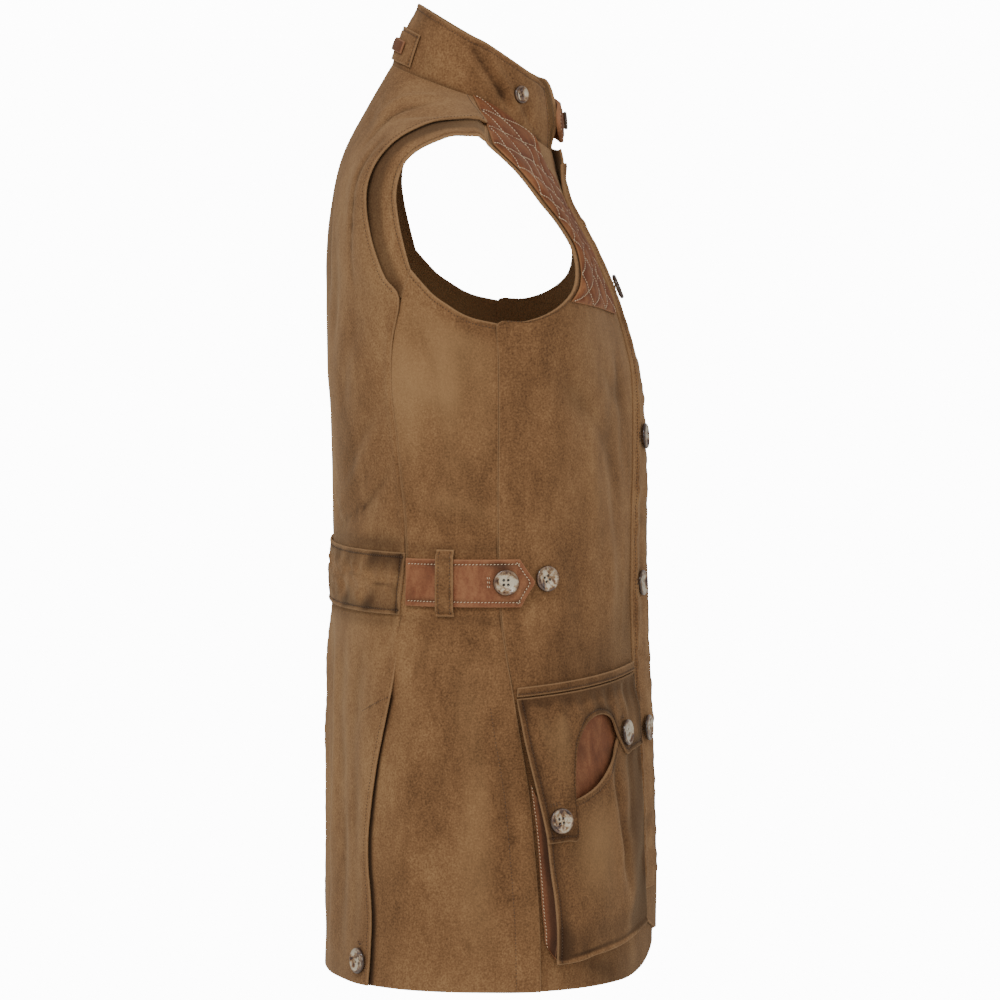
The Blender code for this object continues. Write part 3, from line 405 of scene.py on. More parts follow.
def pressed(points):
    # How far each point is pushed out, and the painted shade a narrow crease draws along its trough, from 0 to
    # -1
    flat = points.reshape(-1, 3)
    push, lines = np.zeros(len(flat)), np.zeros(len(flat))
    for line, width, depth in creases:
        low, high = line.min(0) - creaseSet["reach"] * width, line.max(0) + creaseSet["reach"] * width
        near = np.where(((flat > low) & (flat < high)).all(1))[0]
        if len(near) == 0:
            continue
        gap = np.linalg.norm(flat[near][:, None] - line[None], axis=2)
        along, gap = arched(gap.argmin(1) / (len(line) - 1)), gap.min(1)
        uneven = 0.8 + 0.2 * wander(flat[near], creaseSet["unevenEvery"], 11)
        push[near] += depth * (along + 0.01) ** 0.6 * uneven * bump(gap, width)
        if width <= creaseSet["narrow"] and depth < 0:
            lines[near] -= np.sqrt(along) * bump(gap, width * creaseSet["lineWidth"])
    for height, length, seed in swells:
        push += height * wander(flat, length, seed)
    return push.reshape(points.shape[:-1]), lines.reshape(points.shape[:-1])


def settled(surface, b):               # creases fade out towards the neck seam
    return softStep(b / 0.3) if surface is collarForm else softStep((form["neckUp"] - b) / 20)


# (y, z) rows seen from the side, half width, depth. The left gets the same, moved and a little shallower
sideCreases = [
    (((44, -170), (34, -210), (30, -262), (34, -318)), 13, -2.2),      # side panel, below the armhole
    (((8, -190), (2, -232), (6, -280)), 11, -1.5),
    (((52, -205), (30, -228), (4, -232)), 9, 1.2),
    (((48, -318), (22, -334), (-8, -338)), 7, -1.3),                   # drawn in above the belt
    (((46, -300), (18, -312), (-14, -322), (-40, -322)), 8, 1.1),
    (((40, -410), (14, -424), (-16, -418)), 5, -1.2),                  # let out below it
    (((30, -430), (24, -520), (34, -610), (30, -680)), 15, -2.2),      # skirt of the side panel
    (((0, -440), (-8, -520), (-4, -600), (-12, -680)), 14, 1.8),
    (((-22, -470), (-30, -540), (-26, -640)), 10, -1.4),
    (((-34, -190), (-46, -250), (-44, -320)), 12, -1.5),               # front, beside its seam
    (((-62, -186), (-80, -225), (-104, -262), (-118, -300)), 13, -1.9),
    (((-70, -330), (-86, -390), (-84, -440)), 14, -1.8),
    (((-104, -300), (-112, -360), (-108, -430)), 11, 1.4),
    (((-96, -196), (-112, -226), (-126, -244)), 9, -1.4),
    (((66, -236), (84, -262), (98, -300)), 9, -1.5),                   # back, drawn towards the belt
    (((60, -284), (82, -318), (104, -338)), 5, -1.9),
    (((60, -318), (76, -334), (92, -344)), 5, 1.1),
    (((72, -262), (92, -300), (104, -330)), 8, 1.2),
    (((84, -170), (96, -205), (100, -244)), 12, -1.5),
    (((84, -420), (92, -500), (88, -600), (94, -690)), 13, -1.8),
    (((62, -28), (84, -56), (93, -104), (92, -150)), 5, -1.7),         # along the pleat
    (((30, -4), (60, -12), (82, -36)), 4, -1.9),
    (((20, 0), (50, 0), (72, -14)), 4.5, 1.5),
    (((-80, -660), (-96, -676), (-116, -684)), 7, -1.1),
]
frontCreases = [           # (x, z) rows seen from the front, on both fronts
    (((-70, -196), (-66, -240), (-78, -300)), 11, -1.6),
    (((-96, -230), (-104, -300), (-98, -370)), 13, -1.7),
    (((-30, -300), (-46, -350), (-44, -420)), 8, -1.2),
    (((-58, -420), (-60, -520), (-52, -620)), 9, -1.3),
    (((-132, -236), (-140, -300), (-130, -360)), 12, 1.4),
    (((-36, -226), (-60, -290), (-76, -345), (-86, -395), (-98, -438)), 2.4, 0.8),     # beside the lap
    (((-86, -100), (-92, -130), (-88, -165)), 8, -1.1),
]
backCreases = [            # (x, z) rows seen from behind, on both halves
    (((-30, -60), (-56, -110), (-60, -170)), 15, -1.8),
    (((-90, -90), (-96, -150), (-80, -215)), 13, -1.6),
    (((-12, -240), (-44, -286), (-92, -322)), 10, -2.0),
    (((-20, -296), (-60, -326), (-108, -340)), 7, -1.6),
    (((-24, -268), (-64, -306), (-100, -318)), 8, 1.3),
    (((-36, -414), (-48, -500), (-44, -600), (-56, -690)), 16, -2.4),
    (((-100, -420), (-98, -500), (-110, -600), (-104, -690)), 14, -2.0),
    (((-72, -430), (-78, -540), (-70, -680)), 14, 1.9),
    (((-6, -410), (-2, -520), (-10, -660)), 12, 1.6),
    (((-40, 4), (-70, -16), (-110, -30)), 8, -1.2),
]
collarCreases = [          # (theta, s) rows on the collar
    (((97, 0.86), (84, 0.62), (70, 0.38), (58, 0.14)), 3.4, -3.0),
    (((84, 0.92), (72, 0.66), (61, 0.42), (54, 0.2)), 3.6, 2.0),
    (((104, 0.72), (90, 0.5), (76, 0.28)), 4.5, 1.4),
    (((118, 0.7), (104, 0.52), (92, 0.36)), 6, -1.5),
    (((50, 0.42), (44, 0.22), (38, 0.08)), 4, -1.5),
    (((262, 0.8), (276, 0.56), (292, 0.3)), 6, -1.9),
    (((250, 0.5), (268, 0.4), (282, 0.16)), 7, 1.3),
    (((150, 0.8), (178, 0.86), (206, 0.78)), 6, -0.9),
]
for table, finder, turn in ((sideCreases, seen, 2.5), (frontCreases, ahead, -3.0), (backCreases, behind, 3.0)):
    for k, (rows, width, depth) in enumerate(table):
        places = finder(*rows)
        addCrease(places, width, depth)
        moved = np.array([turn * math.sin(k * 2.1), 9 * math.sin(k * 1.3 + 1)])
        mirrored = sided(places, -1) + moved
        mirrored[:, 1] = np.clip(mirrored[:, 1], 0, form["neckUp"])
        addCrease(mirrored, width * 1.06, depth * 0.85)
for rows, width, depth in collarCreases:
    addCrease(np.array(rows, float), width, depth, collarForm)
print("creases placed", len(creases))


# Cloth: each piece is a closed wall with rounded edges on a net of places

pieces, stitchRows = {}, {"brown": [], "cream": [], "quilt": []}
insetLines = [0.12, 0.4, 0.8, 1.3, 2.0, 2.8, 3.5, 4.1, 4.8, 5.8, 7.2]
cloth = {"insidePaintedLight": 0.8, "radius": 1.0, "settleIn": 0.8, "thinnest": 0.9, "creaseShading": 0.11,
         "creaseShadingLimits": (-0.42, 0.3), "foldLineShade": 0.36, "allowance": 0.012, "overlaps": 1.03, "longest": 2.5}


def netLines(points, axis, step, inset):           # where to cut a net along one axis, closer beside its ends
    gaps = np.linalg.norm(np.diff(points, axis=axis), axis=2).mean(1 - axis)
    at = np.concatenate([[0], np.cumsum(gaps)])
    total = at[-1]
    close = [d for d in inset if d < total * 0.42]
    inner = close[-1] if close else 0
    count = max(2, int(round((total - 2 * inner) / step)))
    lines = np.concatenate([[0], close[:-1], np.linspace(inner, total - inner, count + 1),
                            [total - d for d in close[:-1]], [total]])
    return np.interp(np.unique(lines), at, np.arange(len(at)))


def smoothRead(values, at, axis=0):                # smooth reading of a net along one axis
    values = np.moveaxis(np.asarray(values, float), axis, 0)
    last = len(values) - 1
    i = np.clip(np.floor(at).astype(int), 0, last - 1)
    t = (at - i).reshape((-1,) + (1,) * (values.ndim - 1))
    wide = np.concatenate([(2 * values[0] - values[1])[None], values, (2 * values[-1] - values[-2])[None]])
    a, b, c, d = wide[i], wide[i + 1], wide[i + 2], wide[i + 3]
    made = 0.5 * (2 * b + (c - a) * t + (2 * a - 5 * b + 4 * c - d) * t**2 + (3 * b - a - 3 * c + d) * t**3)
    return np.moveaxis(made, 0, axis)


def farFrom(points, axis, last):       # the way over the cloth from one of a net's edges
    points = np.moveaxis(points, axis, 0)
    if last:
        points = points[::-1]
    steps = np.linalg.norm(np.diff(points, axis=0), axis=-1)
    far = np.concatenate([np.zeros((1,) + steps.shape[1:]), np.cumsum(steps, axis=0)])
    return np.moveaxis(far[::-1] if last else far, 0, axis)


def plainMesh(name, points, faces, values):
    mesh = bpy.data.meshes.new(name)
    mesh.vertices.add(len(points))
    mesh.vertices.foreach_set("co", (points * mm).astype(np.float32).ravel())
    mesh.loops.add(faces.size)
    mesh.loops.foreach_set("vertex_index", faces.astype(np.int32).ravel())
    mesh.polygons.add(len(faces))
    mesh.polygons.foreach_set("loop_start", np.arange(0, faces.size, faces.shape[1], dtype=np.int32))
    mesh.update(calc_edges=True)
    mesh.shade_smooth()
    for key, numbers in values.items():
        mesh.attributes.new(key, "FLOAT", "POINT").data.foreach_set("value", numbers.astype(np.float32))
    return mesh


def wallMesh(name, outer, inner, values):          # two walls that share their border
    rows, columns = outer.shape[:2]
    index = np.arange(rows * columns).reshape(rows, columns)
    rim = np.ones((rows, columns), bool)
    rim[1:-1, 1:-1] = False
    rear = index.copy()
    rear[~rim] = rows * columns + np.arange((~rim).sum())
    points = np.concatenate([outer.reshape(-1, 3), inner[~rim]])
    quads = [np.stack([net[:-1, :-1], net[:-1, 1:], net[1:, 1:], net[1:, :-1]], -1).reshape(-1, 4)
             for net in (index, rear)]
    a, b, d = (points[quads[0][:, k]] for k in (0, 1, 3))
    turned = (np.cross(b - a, d - a) * (outer - inner)[:-1, :-1].reshape(-1, 3)).sum() < 0
    faces = np.concatenate([quads[0][:, ::-1], quads[1]] if turned else [quads[0], quads[1][:, ::-1]])
    # the inner wall is painted paler, a painted light standing in for light that hardly reaches inside
    spread = {key: np.concatenate([grid.ravel(), grid[~rim] + (cloth["insidePaintedLight"] if key == "tone" else 0)])
              for key, grid in values.items()}
    return plainMesh(name, points, faces, spread)


def addPiece(name, mesh, finish, *nodes):
    made = bpy.data.objects.new(name, mesh)
    mesh.materials.append(finish)
    scene.collection.objects.link(made)
    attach(made, "root")
    if nodes:
        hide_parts(*nodes)
    return made


def bands(spot, rows):     # soft bands: what each is measured from, how far off it lies, its width and strength
    return sum(strength * bump(spot[key] - at, width) for key, at, width, strength in rows)


def patchAt(spot, key, at, z, squash, width):      # a soft round patch, squash is above 1 where it is low
    return bump(np.hypot(spot[key] - at, (spot["z"] - z) * squash), width)


def whereabouts(places, base, rows, columns):      # what the rules of a piece can ask about each of its points
    spot = {"theta": places[..., 0], "up": places[..., 1], "points": base, "rows": rows, "columns": columns,
            "x": base[..., 0], "y": base[..., 1], "z": base[..., 2], "aside": np.abs(base[..., 0]),
            "left": farFrom(base, 1, False), "right": farFrom(base, 1, True),
            "bottom": farFrom(base, 0, False), "top": farFrom(base, 0, True)}
    spot["sides"] = np.minimum(spot["left"], spot["right"])
    spot["near"] = np.minimum(spot["sides"], np.minimum(spot["bottom"], spot["top"]))
    return spot


def turnedEdges(spot, turned):         # relief and tone along topstitched edges, puckered at their stitches; the tone is painted shade in the stitch groove and beside it
    relief = tone = 0.0
    pucker = 1 + 0.35 * wander(spot["points"], 11, 4)
    for side, far in turned.items():
        relief = relief + pucker * bands(spot, [(side, far, 0.9, -0.5)])
        relief = relief + bands(spot, [(side, far * 0.45, far * 0.4, 0.34), (side, far + 2.6, 1.8, 0.22)])
        tone = tone + bands(spot, [(side, far, 0.8, -0.3), (side, far + 2, 3, -0.1)])
    return relief, tone


def declareCut(outer, spot):     # flat size and area, with their seam allowances
    sides = outer[1:, :-1] - outer[:-1, :-1], outer[:-1, 1:] - outer[:-1, :-1]
    area = np.linalg.norm(np.cross(*sides), axis=-1).sum() * mm * mm * cloth["overlaps"]
    width, length = (spot[side].max() * mm + cloth["allowance"] for side in ("left", "bottom"))
    width = min(width, area / length * cloth["longest"])


def makeCloth(node, net, finish, out=0.0, thick=2.0, step=3.6, raised=0.0, surface=bodyForm, inset=insetLines,
              turned=None, shade=0.0, stitch="brown"):
    # out, raised and shade are numbers, or rules that take what whereabouts gives.
    # turned gives, for each topstitched edge, how far in its stitches run.
    turned = turned or {}
    rough = surface(net[..., 0], net[..., 1])
    rows, columns = netLines(rough, 0, step, inset), netLines(rough, 1, step, inset)
    places = smoothRead(smoothRead(net, rows, 0), columns, 1)
    if surface is bodyForm:
        places[..., 1] = np.clip(places[..., 1], 0, form["neckUp"])
    base = surface(places[..., 0], places[..., 1])
    normal = outward(surface, places[..., 0], places[..., 1])
    spot = whereabouts(places, base, rows, columns)
    near = spot["near"]
    level, relief, tone = (np.broadcast_to(rule(spot) if callable(rule) else rule, near.shape)
                           for rule in (out, raised, shade))
    edgeRelief, edgeTone = turnedEdges(spot, turned)
    relief = (relief + edgeRelief) * softStep(near / cloth["settleIn"])
    r = min(thick / 2, cloth["radius"])
    drop = r * (1 - np.sqrt(np.clip(1 - (1 - np.clip(near / r, 0, 1)) ** 2, 0, 1)))
    drop = drop + (thick / 2 - r) * (1 - softStep(near / 0.5))
    push, lines = pressed(base)
    push = push * settled(surface, places[..., 1])
    # painted shade: a dark line in each narrow crease and darker troughs on every crease, with a painted
    # highlight on the ridges
    tone = tone + edgeTone + cloth["foldLineShade"] * lines
    tone = tone + np.clip(push * cloth["creaseShading"], *cloth["creaseShadingLimits"])
    base = base + normal * push[..., None]
    sunk = np.minimum(relief + thick - cloth["thinnest"], 0)      # under a deep fold, the inner wall gives way
    outer = base + normal * (level - drop + relief)[..., None]
    inner = base + normal * (level - thick + drop + sunk)[..., None]
    mesh = wallMesh(node, outer, inner, {"edge": np.clip(near, 0, 40), "tone": np.clip(tone, -1, 1)})
    made = addPiece(node + "_cloth", mesh, finish, node)
    declareCut(outer, spot)
    pieces[node] = {"outer": outer, "normal": normal, "spot": spot}
    for side, far in turned.items():
        stitchRows[stitch].append(besideEdge(node, side, far, (far, far)))
    print("made", node, 2 * len(mesh.polygons), "triangles")


def besideEdge(node, side, inset, cut=(3.0, 3.0)):     # a line on a piece's face, beside one of its edges
    piece = pieces[node]
    far, outer, normal = piece["spot"][side], piece["outer"], piece["normal"]
    if side in ("bottom", "top"):
        far, outer, normal = far.T, outer.transpose(1, 0, 2), normal.transpose(1, 0, 2)
    if side in ("right", "top"):
        far, outer, normal = far[:, ::-1], outer[:, ::-1], normal[:, ::-1]
    read = [np.array([[np.interp(inset, d, row[:, k]) for k in range(3)] for d, row in zip(far, grid)])
            for grid in (outer, normal)]
    return trimmed(*read, cut)


def trimmed(points, lifts, cut):       # a line without its two ends
    length = np.concatenate([[0], np.cumsum(np.linalg.norm(np.diff(points, axis=0), axis=1))])
    inner = (length > cut[0]) & (length < length[-1] - cut[1])
    at = np.concatenate([[cut[0]], length[inner], [length[-1] - cut[1]]])
    read = [np.stack([np.interp(at, length, line[:, k]) for k in range(3)], 1) for line in (points, lifts)]
    return read[0], read[1]


def onPiece(node, rows, columns, count=60):        # a line on a piece's face through places of its net
    spot = pieces[node]["spot"]
    t = np.linspace(0, 1, count) * (len(rows) - 1)
    floors, shares = [], []
    for key, stops in (("rows", rows), ("columns", columns)):
        at = np.interp(np.interp(t, np.arange(len(stops)), stops), spot[key], np.arange(len(spot[key])))
        floors.append(np.clip(np.floor(at).astype(int), 0, len(spot[key]) - 2))
        shares.append((at - floors[-1])[:, None])
    (i, j), (u, v) = floors, shares
    read = [(grid[i, j] * (1 - u) * (1 - v) + grid[i + 1, j] * u * (1 - v)
             + grid[i, j + 1] * (1 - u) * v + grid[i + 1, j + 1] * u * v)
            for grid in (pieces[node]["outer"], pieces[node]["normal"])]
    return read[0], read[1]


def onForm(places, out, surface=bodyForm):         # a line at a set height over the form
    points = surface(places[:, 0], places[:, 1])
    lifts = outward(surface, places[:, 0], places[:, 1])
    push = pressed(points)[0] * settled(surface, places[:, 1])
    return points + lifts * (push + out)[:, None], lifts


def stitchWithin(line, low, high):     # topstitching along the stretch of a line between two heights
    chosen = (line[0][:, 2] > low) & (line[0][:, 2] < high)
    stitchRows["brown"].append((line[0][chosen], line[1][chosen]))


# Seams that two pieces share, as (y, z) seen from the wearer's right, each with its number of steps

seamRows = {"vent": 7, "side": 9, "pleat": 11, "shoulder": 3, "foreLow": 6}
lap = {"edgeLift": 3.7, "spread": 58.0, "overlap": 44.0, "rise": 2.6, "bandThick": 1.6, "curl": 6.0,
       "tuck": 12.0}


def seam(count, *rows):
    return alongRun(seen(*rows), count)


ventEdge = seam(seamRows["vent"], (78, -695), (75, -646), (77, -590), (75, -553), (71, -524), (65, -493),
                (59, -465))
sideBack = seam(seamRows["side"], (59, -465), (55, -423), (50, -391), (49, -344), (56, -265), (60, -201),
                (58, -179), (53, -154))
pleatEdge = seam(seamRows["pleat"], (53, -154), (64, -137), (71, -119), (76, -98), (77, -73), (74, -56),
                 (67, -45), (57, -34), (43, -25), (23, -18), (7, -17), (-12, -21))
underarmTick = seam(1, (53, -154), (46, -131))
armholeBack = seam(seamRows["pleat"], (46, -131), (52, -108), (56, -89), (57, -66), (49, -46), (30, -32.5),
                   (8, -26), (-4, -27), (-13, -31))
armholeLow = seam(6, (46, -131), (39, -139), (30, -149), (16, -159), (2, -167), (-12, -171), (-22, -173))
armholeFrontLow = seam(3, (-22, -173), (-40, -172), (-54, -169), (-65, -164), (-75, -157))
armholeFront = seam(10, (-75, -157), (-82, -148), (-84.5, -134), (-82, -120), (-75, -106), (-65, -91),
                    (-54, -77), (-40, -58), (-26, -43.5), (-19, -36.5), (-13, -31))
shoulderLow = seam(1, (-13, -31), (-12, -21))
shoulderHigh = seam(seamRows["shoulder"], (-12, -21), (-2, -1))
frontSeam = seam(11, (-33, -457), (-29, -432), (-25, -400), (-23, -352), (-23, -248), (-22, -173))
frontSeamLow = seam(seamRows["foreLow"], (-42, -695), (-40, -646), (-36, -560), (-35, -490), (-33, -457))
sidePanelEdge = seam(seamRows["foreLow"], (-55, -695), (-54, -646), (-50, -583), (-46, -537), (-40, -500),
                     (-33, -457))
shoulderHigh[-1, 1] = form["neckUp"]
for edge in (ventEdge, frontSeamLow, sidePanelEdge):
    edge[0, 1] = 0.0


def lifted(spot, lift, side):          # how far a loose edge stands off, from its lift at each row of the table
    return np.clip(smoothRead(lift, spot["rows"]), 0, 9)[:, None] * (1 - softStep(spot[side] / lap["spread"]))


def pastRow(spot, row, over):          # 0 to 1 as the rows pass this one, 1 to 0 where over is below 0
    return softStep((spot["rows"][:, None] - row) / over)


# Back panel, its edges loose at the vents and at the action pleats

def makeBack():
    edge = joined(ventEdge, sideBack, pleatEdge, shoulderHigh)
    vent = seamRows["vent"]
    start = vent + seamRows["side"]
    end = start + seamRows["pleat"]
    lift = np.zeros(len(edge))
    lift[:vent + 1] = lap["edgeLift"]
    lift[start - 1] = lap["edgeLift"] * 0.35
    lift[start:end + 1] = lap["edgeLift"] + 1.6 * bump(bodyForm(*pleatEdge.T)[:, 2] + 76, 22)
    lift[end:] = lap["edgeLift"] * np.linspace(1, 0, seamRows["shoulder"] + 1)

    def sewn(spot, over):              # 1 where the edge is sewn to the side panel
        return pastRow(spot, vent, over) * pastRow(spot, start + 1, -2)

    def raised(spot):      # a welt where the seam allowance is turned back under the side seam
        return sewn(spot, 1.5) * bands(spot, [("sides", 3.4, 3.2, 0.7), ("sides", 9, 2, -0.35)])

    def shade(spot):       # painted shadow beside the belt, painted shade in the seam and in a groove along the stitches over a vent; darker at the hem, paler near its long edges
        sides = spot["sides"]
        tone = bands(spot, [("sides", 3, 4, 0.16), ("z", -348, 10, -0.45), ("z", -407, 9, -0.4),
                            ("z", -690, 10, -0.15)])
        slant = (spot["rows"][:, None] - 6.95) * 33 + (sides - 2) * 0.48
        tone = tone - 0.7 * bump(slant, 1.1) * softStep((30 - sides) / 3)
        return tone - 0.45 * sewn(spot, 1) * bump(sides - 1.2, 1.0)

    makeCloth("back", strip(edge, acrossBack(edge), 20), suede, out=lambda spot: lifted(spot, lift, "sides"),
              raised=raised, shade=shade, step=4.2)
    for side in ("left", "right"):
        line = besideEdge("back", side, 4.0)
        stitchWithin(line, -692, -478)         # up the vent
        stitchWithin(line, -150, 60)           # round the pleat
    for columns in ((0.15, 2.1), (19.85, 17.9)):           # slanting above each vent
        stitchRows["brown"].append(onPiece("back", (6.95, 6.55), columns, 14))


# Side panels, loose in front below the pocket top and tucked under the vent behind

def makeSidePanel(side, sign):
    hidden = joined(ventEdge, sideBack)        # its rear edge runs on under the vent and a little past its top
    tuck = lap["tuck"] * (1 - np.clip(np.arange(len(hidden)) / (seamRows["vent"] + 2.5), 0, 1) ** 3)
    rear = joined(movedRound(hidden, tuck), underarmTick)
    fore = joined(sidePanelEdge, frontSeam)
    net = between(fore, rear, straight(fore[0], rear[0], 6), armholeLow[::-1])
    loose = seamRows["foreLow"] + 1
    lift = np.zeros(len(fore))
    lift[:loose] = lap["edgeLift"]
    lift[loose] = lap["edgeLift"] * 0.35
    slit = np.append(tuck, 0.0)
    facing = {"inset": 19.5, "top": -470}

    def raised(spot):      # faced front edge below, seam allowances above, a rolled edge at the armhole
        free = pastRow(spot, 6.4, -0.8)
        relief = free * bands(spot, [("left", 8, 9, 0.5), ("left", facing["inset"], 1.3, -0.5)])
        relief = relief + (1 - free) * bands(spot, [("left", 3.2, 3, 0.55)])
        return relief + pastRow(spot, 7, 1) * bands(spot, [("right", 3.2, 3, 0.5)])

    def shade(spot):       # a painted highlight below the armhole; painted shadow beside the belt, painted shade under the armhole's edge, in the seam and inside the vent; darker beside the facing's stitches
        tone = 0.12 + 0.75 * patchAt(spot, "y", 26, -215, 0.62, 42)
        tone = tone + bands(spot, [("z", -350, 9, -0.45), ("z", -405, 8, -0.45), ("top", 8, 7, -0.3)])
        high, low = bands(spot, [("left", 1.2, 1.0, -0.4)]), bands(spot, [("left", 22, 6, -0.2)])
        ventShadow = bump(spot["right"] - smoothRead(slit, spot["rows"])[:, None], 2.8)
        return tone + np.where(spot["z"] < facing["top"], low, high) - 1.6 * pastRow(spot, 7.2, -0.4) * ventShadow

    node = "side_panel_" + side
    makeCloth(node, sided(net, sign), suede, out=lambda spot: lifted(spot, lift, "left"), raised=raised,
              shade=shade, step=3.8, turned={"top": 4.2})
    stitchWithin(besideEdge(node, "left", facing["inset"]), form["hemZ"] - 10, facing["top"])


def makePleatUnderlay(side, sign):
    tuck = lap["tuck"] * arched(np.linspace(0, 1, seamRows["pleat"] + 1))
    width = np.linalg.norm(bodyForm(*pleatEdge.T) - bodyForm(*armholeBack.T), axis=1)
    rear = armholeBack + (pleatEdge - armholeBack) * (1 + tuck / width)[:, None]
    # painted shade, deeper under the pleat
    makeCloth("pleat_underlay_" + side, sided(strip(armholeBack, rear, 3), sign), suede, step=2.8,
              turned={"left": 4.2}, shade=lambda spot: -0.55 * softStep((spot["left"] - 9) / 12))


# Fronts, left over right, on the same lap lines

lapOffsets = [0, 11, 22, 33, 44]
edgeRows, edgeStops = (6, 11, 3, 10, 4), (-450, -185, -152, -72, -48)
nearEdge = np.array([(-640, -66), (-480, -66), (-370, -62), (-290, -48), (-225, -26), (-155, -12), (-52, -12)],
                    float)
rightCorner = [(-140, -695), (-96, -694.5), (-66, -691.5), (-50, -688), (-33, -682), (-22, -676)]
leftCorner = [(-66, -640), (-60, -650), (-46, -658), (-20, -665), (10, -670), (45, -680), (85, -690),
              (140, -695)]
bandOut = lap["rise"] + 0.6 + lap["bandThick"]


def nearEdgeX(z):
    return throughRows(nearEdge[:, 0], nearEdge[:, 1], z)


def fromLap(spot):
    return spot["x"] - nearEdgeX(spot["z"])


def lapLine(offset, corner, topUp):
    table = np.array(corner, float)
    runs, z = [], float(throughRows(table[:, 0], table[:, 1], nearEdgeX(-640) + offset))
    for count, stop in zip(edgeRows, edgeStops):
        runs.append(ahead(*[(nearEdgeX(h) + offset, h) for h in np.linspace(z, stop, count + 1)]))
        z = stop
    line = joined(*runs)
    line[-1, 1] = topUp
    return line


def frontRise(far):
    return lap["rise"] * (1 - softStep((far - lap["overlap"]) / 30))


def overRise(far):         # clears the left front's rise
    return lap["rise"] * np.clip(1 - (far - lap["overlap"]) / 45, 0, 1)


def cornerCurl(far, z):
    return lap["curl"] * softStep((z + 85) / 35) * (1 - softStep(far / 30))


def makeFront(side, sign):
    edge = joined(frontSeamLow, frontSeam, armholeFrontLow, armholeFront, shoulderLow, shoulderHigh)
    edge = sided(edge, sign)
    if sign > 0:
        laps = [lapLine(offset, rightCorner, form["neckUp"]) for offset in lapOffsets[::-1]]
        past = rightCorner[1::-1]
    else:
        laps = [lapLine(offset, leftCorner, form["neckUp"] - 0.7 * lap["rise"]) for offset in lapOffsets]
        past = [row for row in leftCorner if row[0] > 0]
    hem = alongRun(np.concatenate([laps[-1][:1], ahead(*past), edge[:1]]), 7)
    hem[:, 1] = np.maximum(hem[:, 1], 0)
    neck = straight(laps[-1][-1], edge[-1], 7)
    if sign < 0:
        points = bodyForm(*neck.T)
        neck[:, 1] = form["neckUp"] - 0.7 * frontRise(points[:, 0] - nearEdgeX(points[:, 2]))
    net = np.concatenate([np.stack(laps[:-1], 1), between(laps[-1], edge, hem, neck)], 1)

    def out(spot):         # the left front lies over the right one
        return frontRise(fromLap(spot)) + cornerCurl(fromLap(spot), spot["z"]) if sign < 0 else 0.0

    def raised(spot):      # the armhole's rolled edge, and the allowance beside the side seam
        high = pastRow(spot, 17, 1)
        return (1 - high) * bands(spot, [("right", 3.2, 3, 0.4)]) + high * bands(
            spot, [("right", 2.2, 2.0, 0.5), ("right", 4.6, 0.9, -0.5)])

    def shade(spot):       # darker round the pocket's rear corner and at the hem; painted shade low in front and beside the armhole's edge; a little paler at the chest
        tone = -0.35 * bump(np.hypot((spot["y"] + 76) * 0.8, spot["z"] + 452), 30)
        tone = tone + bands(spot, [("right", 5, 5, -0.3)]) * (spot["rows"][:, None] > 17)
        tone = tone - 0.3 * softStep((-spot["y"] - 84) / 40) * softStep((-300 - spot["z"]) / 120)
        tone = tone - 0.3 * patchAt(spot, "aside", 150, -690, 1.4, 50)
        return tone + 0.1 * patchAt(spot, "y", -70, -300, 0.7, 40)

    makeCloth("front_" + side, net, suede, out=out, raised=raised, shade=shade, step=3.8)
    stitchWithin(besideEdge("front_" + side, "right", 4.6), -172, -30)


def makeFrontBand():
    heights = np.linspace(-630, -56, 25)
    net = np.stack([ahead(*[(nearEdgeX(z) + offset, z) for z in heights])
                    for offset in (-1.4, 5, 11, 22, 33, 39)], 1)
    inset = 3.6

    def out(spot):         # it rolls over the edge of the left front
        far = fromLap(spot)
        top = bandOut + cornerCurl(far, spot["z"])
        return top - 3.0 * (1 - softStep((far + 1.4) / 6)) - 1.5 * (1 - softStep((spot["z"] + 630) / 14))

    def crossSeam(spot):   # the way from a seam across the band, below its third button
        return spot["z"] + 440 + (spot["x"] + 60) * 0.35

    def raised(spot):      # puckered along its stitched edges
        pucker = wander(spot["points"] * np.array([0.35, 0.35, 1.0]), 17, 2)
        fine = wander(spot["points"] * np.array([0.5, 0.5, 1.0]), 8, 14)
        edge = bands(spot, [("left", 6, 4, 0.6), ("right", 5, 5, 1.0)])
        stitched = bands(spot, [("left", inset, 1.1, -0.35), ("right", inset, 1.1, -0.35)])
        across = crossSeam(spot)
        crossed = 0.5 * np.tanh(across / 1.2) * bump(across, 6)
        return (0.5 * pucker + 0.18 * fine) * (0.35 + edge) + stitched + crossed

    # uneven tone, and painted shade in the seam across the band
    def shade(spot):
        return 0.25 * wander(spot["points"], 26, 6) + 0.1 - 0.4 * bump(crossSeam(spot), 1.2)

    makeCloth("front_band", net, suede, out=out, thick=lap["bandThick"] + 0.6, raised=raised, shade=shade,
              step=2.4)
    for edge in ("left", "right"):
        stitchRows["brown"].append(besideEdge("front_band", edge, inset))


# Quilted shoulder patches: lozenges between crossing rows of stitches

quilt = {"rows": 20, "columns": 16, "along": 6, "across": 3, "height": 2.8, "thick": 1.6, "lay": 0.6,
         "armholeFlat": 6.0}
patchFront = [(-34, -174), (-38, -154), (-41, -135), (-46, -115), (-52, -95), (-58, -81), (-66, -63),
              (-67, -50), (-59, -36)]


def cushions(spot):        # 0 on the quilting lines and 1 in the middle of each lozenge
    i = spot["rows"][:, None] * quilt["along"] / quilt["rows"]
    j = spot["columns"][None] * quilt["across"] / quilt["columns"]
    return np.sqrt(np.abs(np.sin(np.pi * (i + j)) * np.sin(np.pi * (i - j)))) ** 0.75


